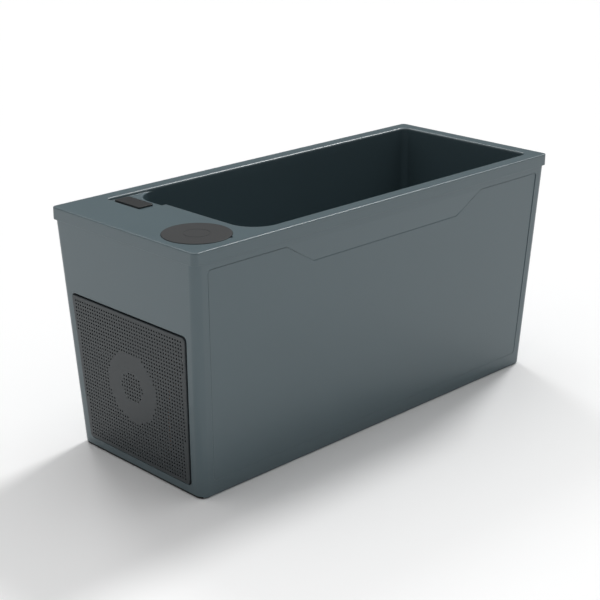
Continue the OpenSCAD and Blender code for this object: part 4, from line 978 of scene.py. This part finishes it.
def sun(name, azimuth, elevation, spread, power):
    """A lamp so far off that it lights the whole floor alike. Its azimuth is where it stands, from +X."""
    data = bpy.data.lights.new(name, "SUN")
    data.energy = power
    data.angle = math.radians(spread)
    made = bpy.data.objects.new(name, data)
    turn, rise = math.radians(azimuth), math.radians(elevation)
    aim = Vector((math.cos(turn) * math.cos(rise), math.sin(turn) * math.cos(rise), math.sin(rise)))
    made.location = aim * 5
    made.rotation_euler = aim.to_track_quat("Z", "Y").to_euler()
    bpy.context.scene.collection.objects.link(made)
    return made


def build_stage():
    """Pale floor, pale room, three far lamps behind the tub, and the camera."""
    scene = bpy.context.scene
    scene.view_settings.view_transform = "Standard"
    corners = [(x * FLOOR_HALF, y * FLOOR_HALF, 0) for x, y in ((-1, -1), (1, -1), (1, 1), (-1, 1))]
    floor = mesh_object("floor", corners, [[0, 1, 2, 3]])
    skin = bpy.data.materials.new("pale floor")
    skin.use_nodes = True
    shader = skin.node_tree.nodes["Principled BSDF"]
    shader.inputs["Base Color"].default_value = (FLOOR_WHITE, FLOOR_WHITE, FLOOR_WHITE, 1)
    shader.inputs["Roughness"].default_value = FLOOR_ROUGHNESS
    shader.inputs["Specular IOR Level"].default_value = 0.0
    floor.data.materials.append(skin)

    scene.world = studio_world()
    sun("key", 44, 74, 60, 0.72)
    sun("long edge", 14, 46, 12, 1.4)
    sun("end edge", 67, 43, 14, 0.5)

    data = bpy.data.cameras.new("camera")
    data.lens = CAMERA_LENS
    data.sensor_width = 36
    camera = bpy.data.objects.new("camera", data)
    camera.location = CAMERA_PLACE
    camera.rotation_euler = (math.radians(90 - CAMERA_DIP), 0, math.radians(CAMERA_TURN))
    scene.collection.objects.link(camera)
    scene.camera = camera


# Operators


class TubOperator:
    """What the tub's operators share."""

    bl_options = {"REGISTER", "UNDO"}


class TUB_OT_shell(TubOperator, bpy.types.Operator):
    """Build the moulded outer shell and its toe strip, a dark sheet of painted shade in the toe gap"""

    bl_idname = "tub.shell"
    bl_label = "Outer Shell"

    def execute(self, context):
        build_shell(context.scene.tub_sizes)
        build_toe_shade_strip(context.scene.tub_sizes)
        return {"FINISHED"}


class TUB_OT_liner(TubOperator, bpy.types.Operator):
    """Build the top moulding with the basin"""

    bl_idname = "tub.liner"
    bl_label = "Basin Moulding"

    def execute(self, context):
        build_liner(context.scene.tub_sizes)
        return {"FINISHED"}


class TUB_OT_grille(TubOperator, bpy.types.Operator):
    """Build the perforated grille panel"""

    bl_idname = "tub.grille"
    bl_label = "Grille Panel"

    def execute(self, context):
        build_grille(context.scene.tub_sizes)
        return {"FINISHED"}


class TUB_OT_deck(TubOperator, bpy.types.Operator):
    """Build the filter lid and the touch tile"""

    bl_idname = "tub.deck"
    bl_label = "Deck Pieces"

    def execute(self, context):
        build_lid()
        build_tile()
        return {"FINISHED"}


class TUB_OT_inner(TubOperator, bpy.types.Operator):
    """Finish the frame, the machines, the pipes and the drain"""

    bl_idname = "tub.inner"
    bl_label = "Inner Pieces"

    def execute(self, context):
        paint_nodes()
        return {"FINISHED"}


class TUB_OT_stage(TubOperator, bpy.types.Operator):
    """Build the floor, the lamps and the camera"""

    bl_idname = "tub.stage"
    bl_label = "Stage"

    def execute(self, context):
        build_stage()
        return {"FINISHED"}


OPERATORS = (TUB_OT_shell, TUB_OT_liner, TUB_OT_grille, TUB_OT_deck, TUB_OT_inner, TUB_OT_stage)


class TUB_PT_panel(bpy.types.Panel):
    """Lists the tub's pieces and their sizes and colours"""

    bl_idname = "TUB_PT_panel"
    bl_label = "Plunge Tub"
    bl_space_type = "VIEW_3D"
    bl_region_type = "UI"
    bl_category = "Plunge Tub"

    def draw(self, context):
        column = self.layout.column()
        for operator in OPERATORS:
            column.operator(operator.bl_idname)
        for group in (context.scene.tub_sizes, context.scene.tub_finishes):
            for name in group.bl_rna.properties.keys():
                if name not in ("rna_type", "name"):
                    column.prop(group, name)


CLASSES = (TubSizes, TubFinishes, *OPERATORS, TUB_PT_panel)


def register():
    """Adds the classes and the scene's settings."""
    for cls in CLASSES:
        bpy.utils.register_class(cls)
    bpy.types.Scene.tub_sizes = PointerProperty(type=TubSizes)
    bpy.types.Scene.tub_finishes = PointerProperty(type=TubFinishes)


def unregister():
    """Takes away what register added."""
    del bpy.types.Scene.tub_finishes
    del bpy.types.Scene.tub_sizes
    for cls in reversed(CLASSES):
        bpy.utils.unregister_class(cls)


def main():
    """Builds the whole tub."""
    register()
    bpy.ops.tub.stage()
    bpy.ops.tub.shell()
    bpy.ops.tub.liner()
    bpy.ops.tub.grille()
    bpy.ops.tub.deck()
    bpy.ops.tub.inner()


if __name__ == "__main__":
    main()
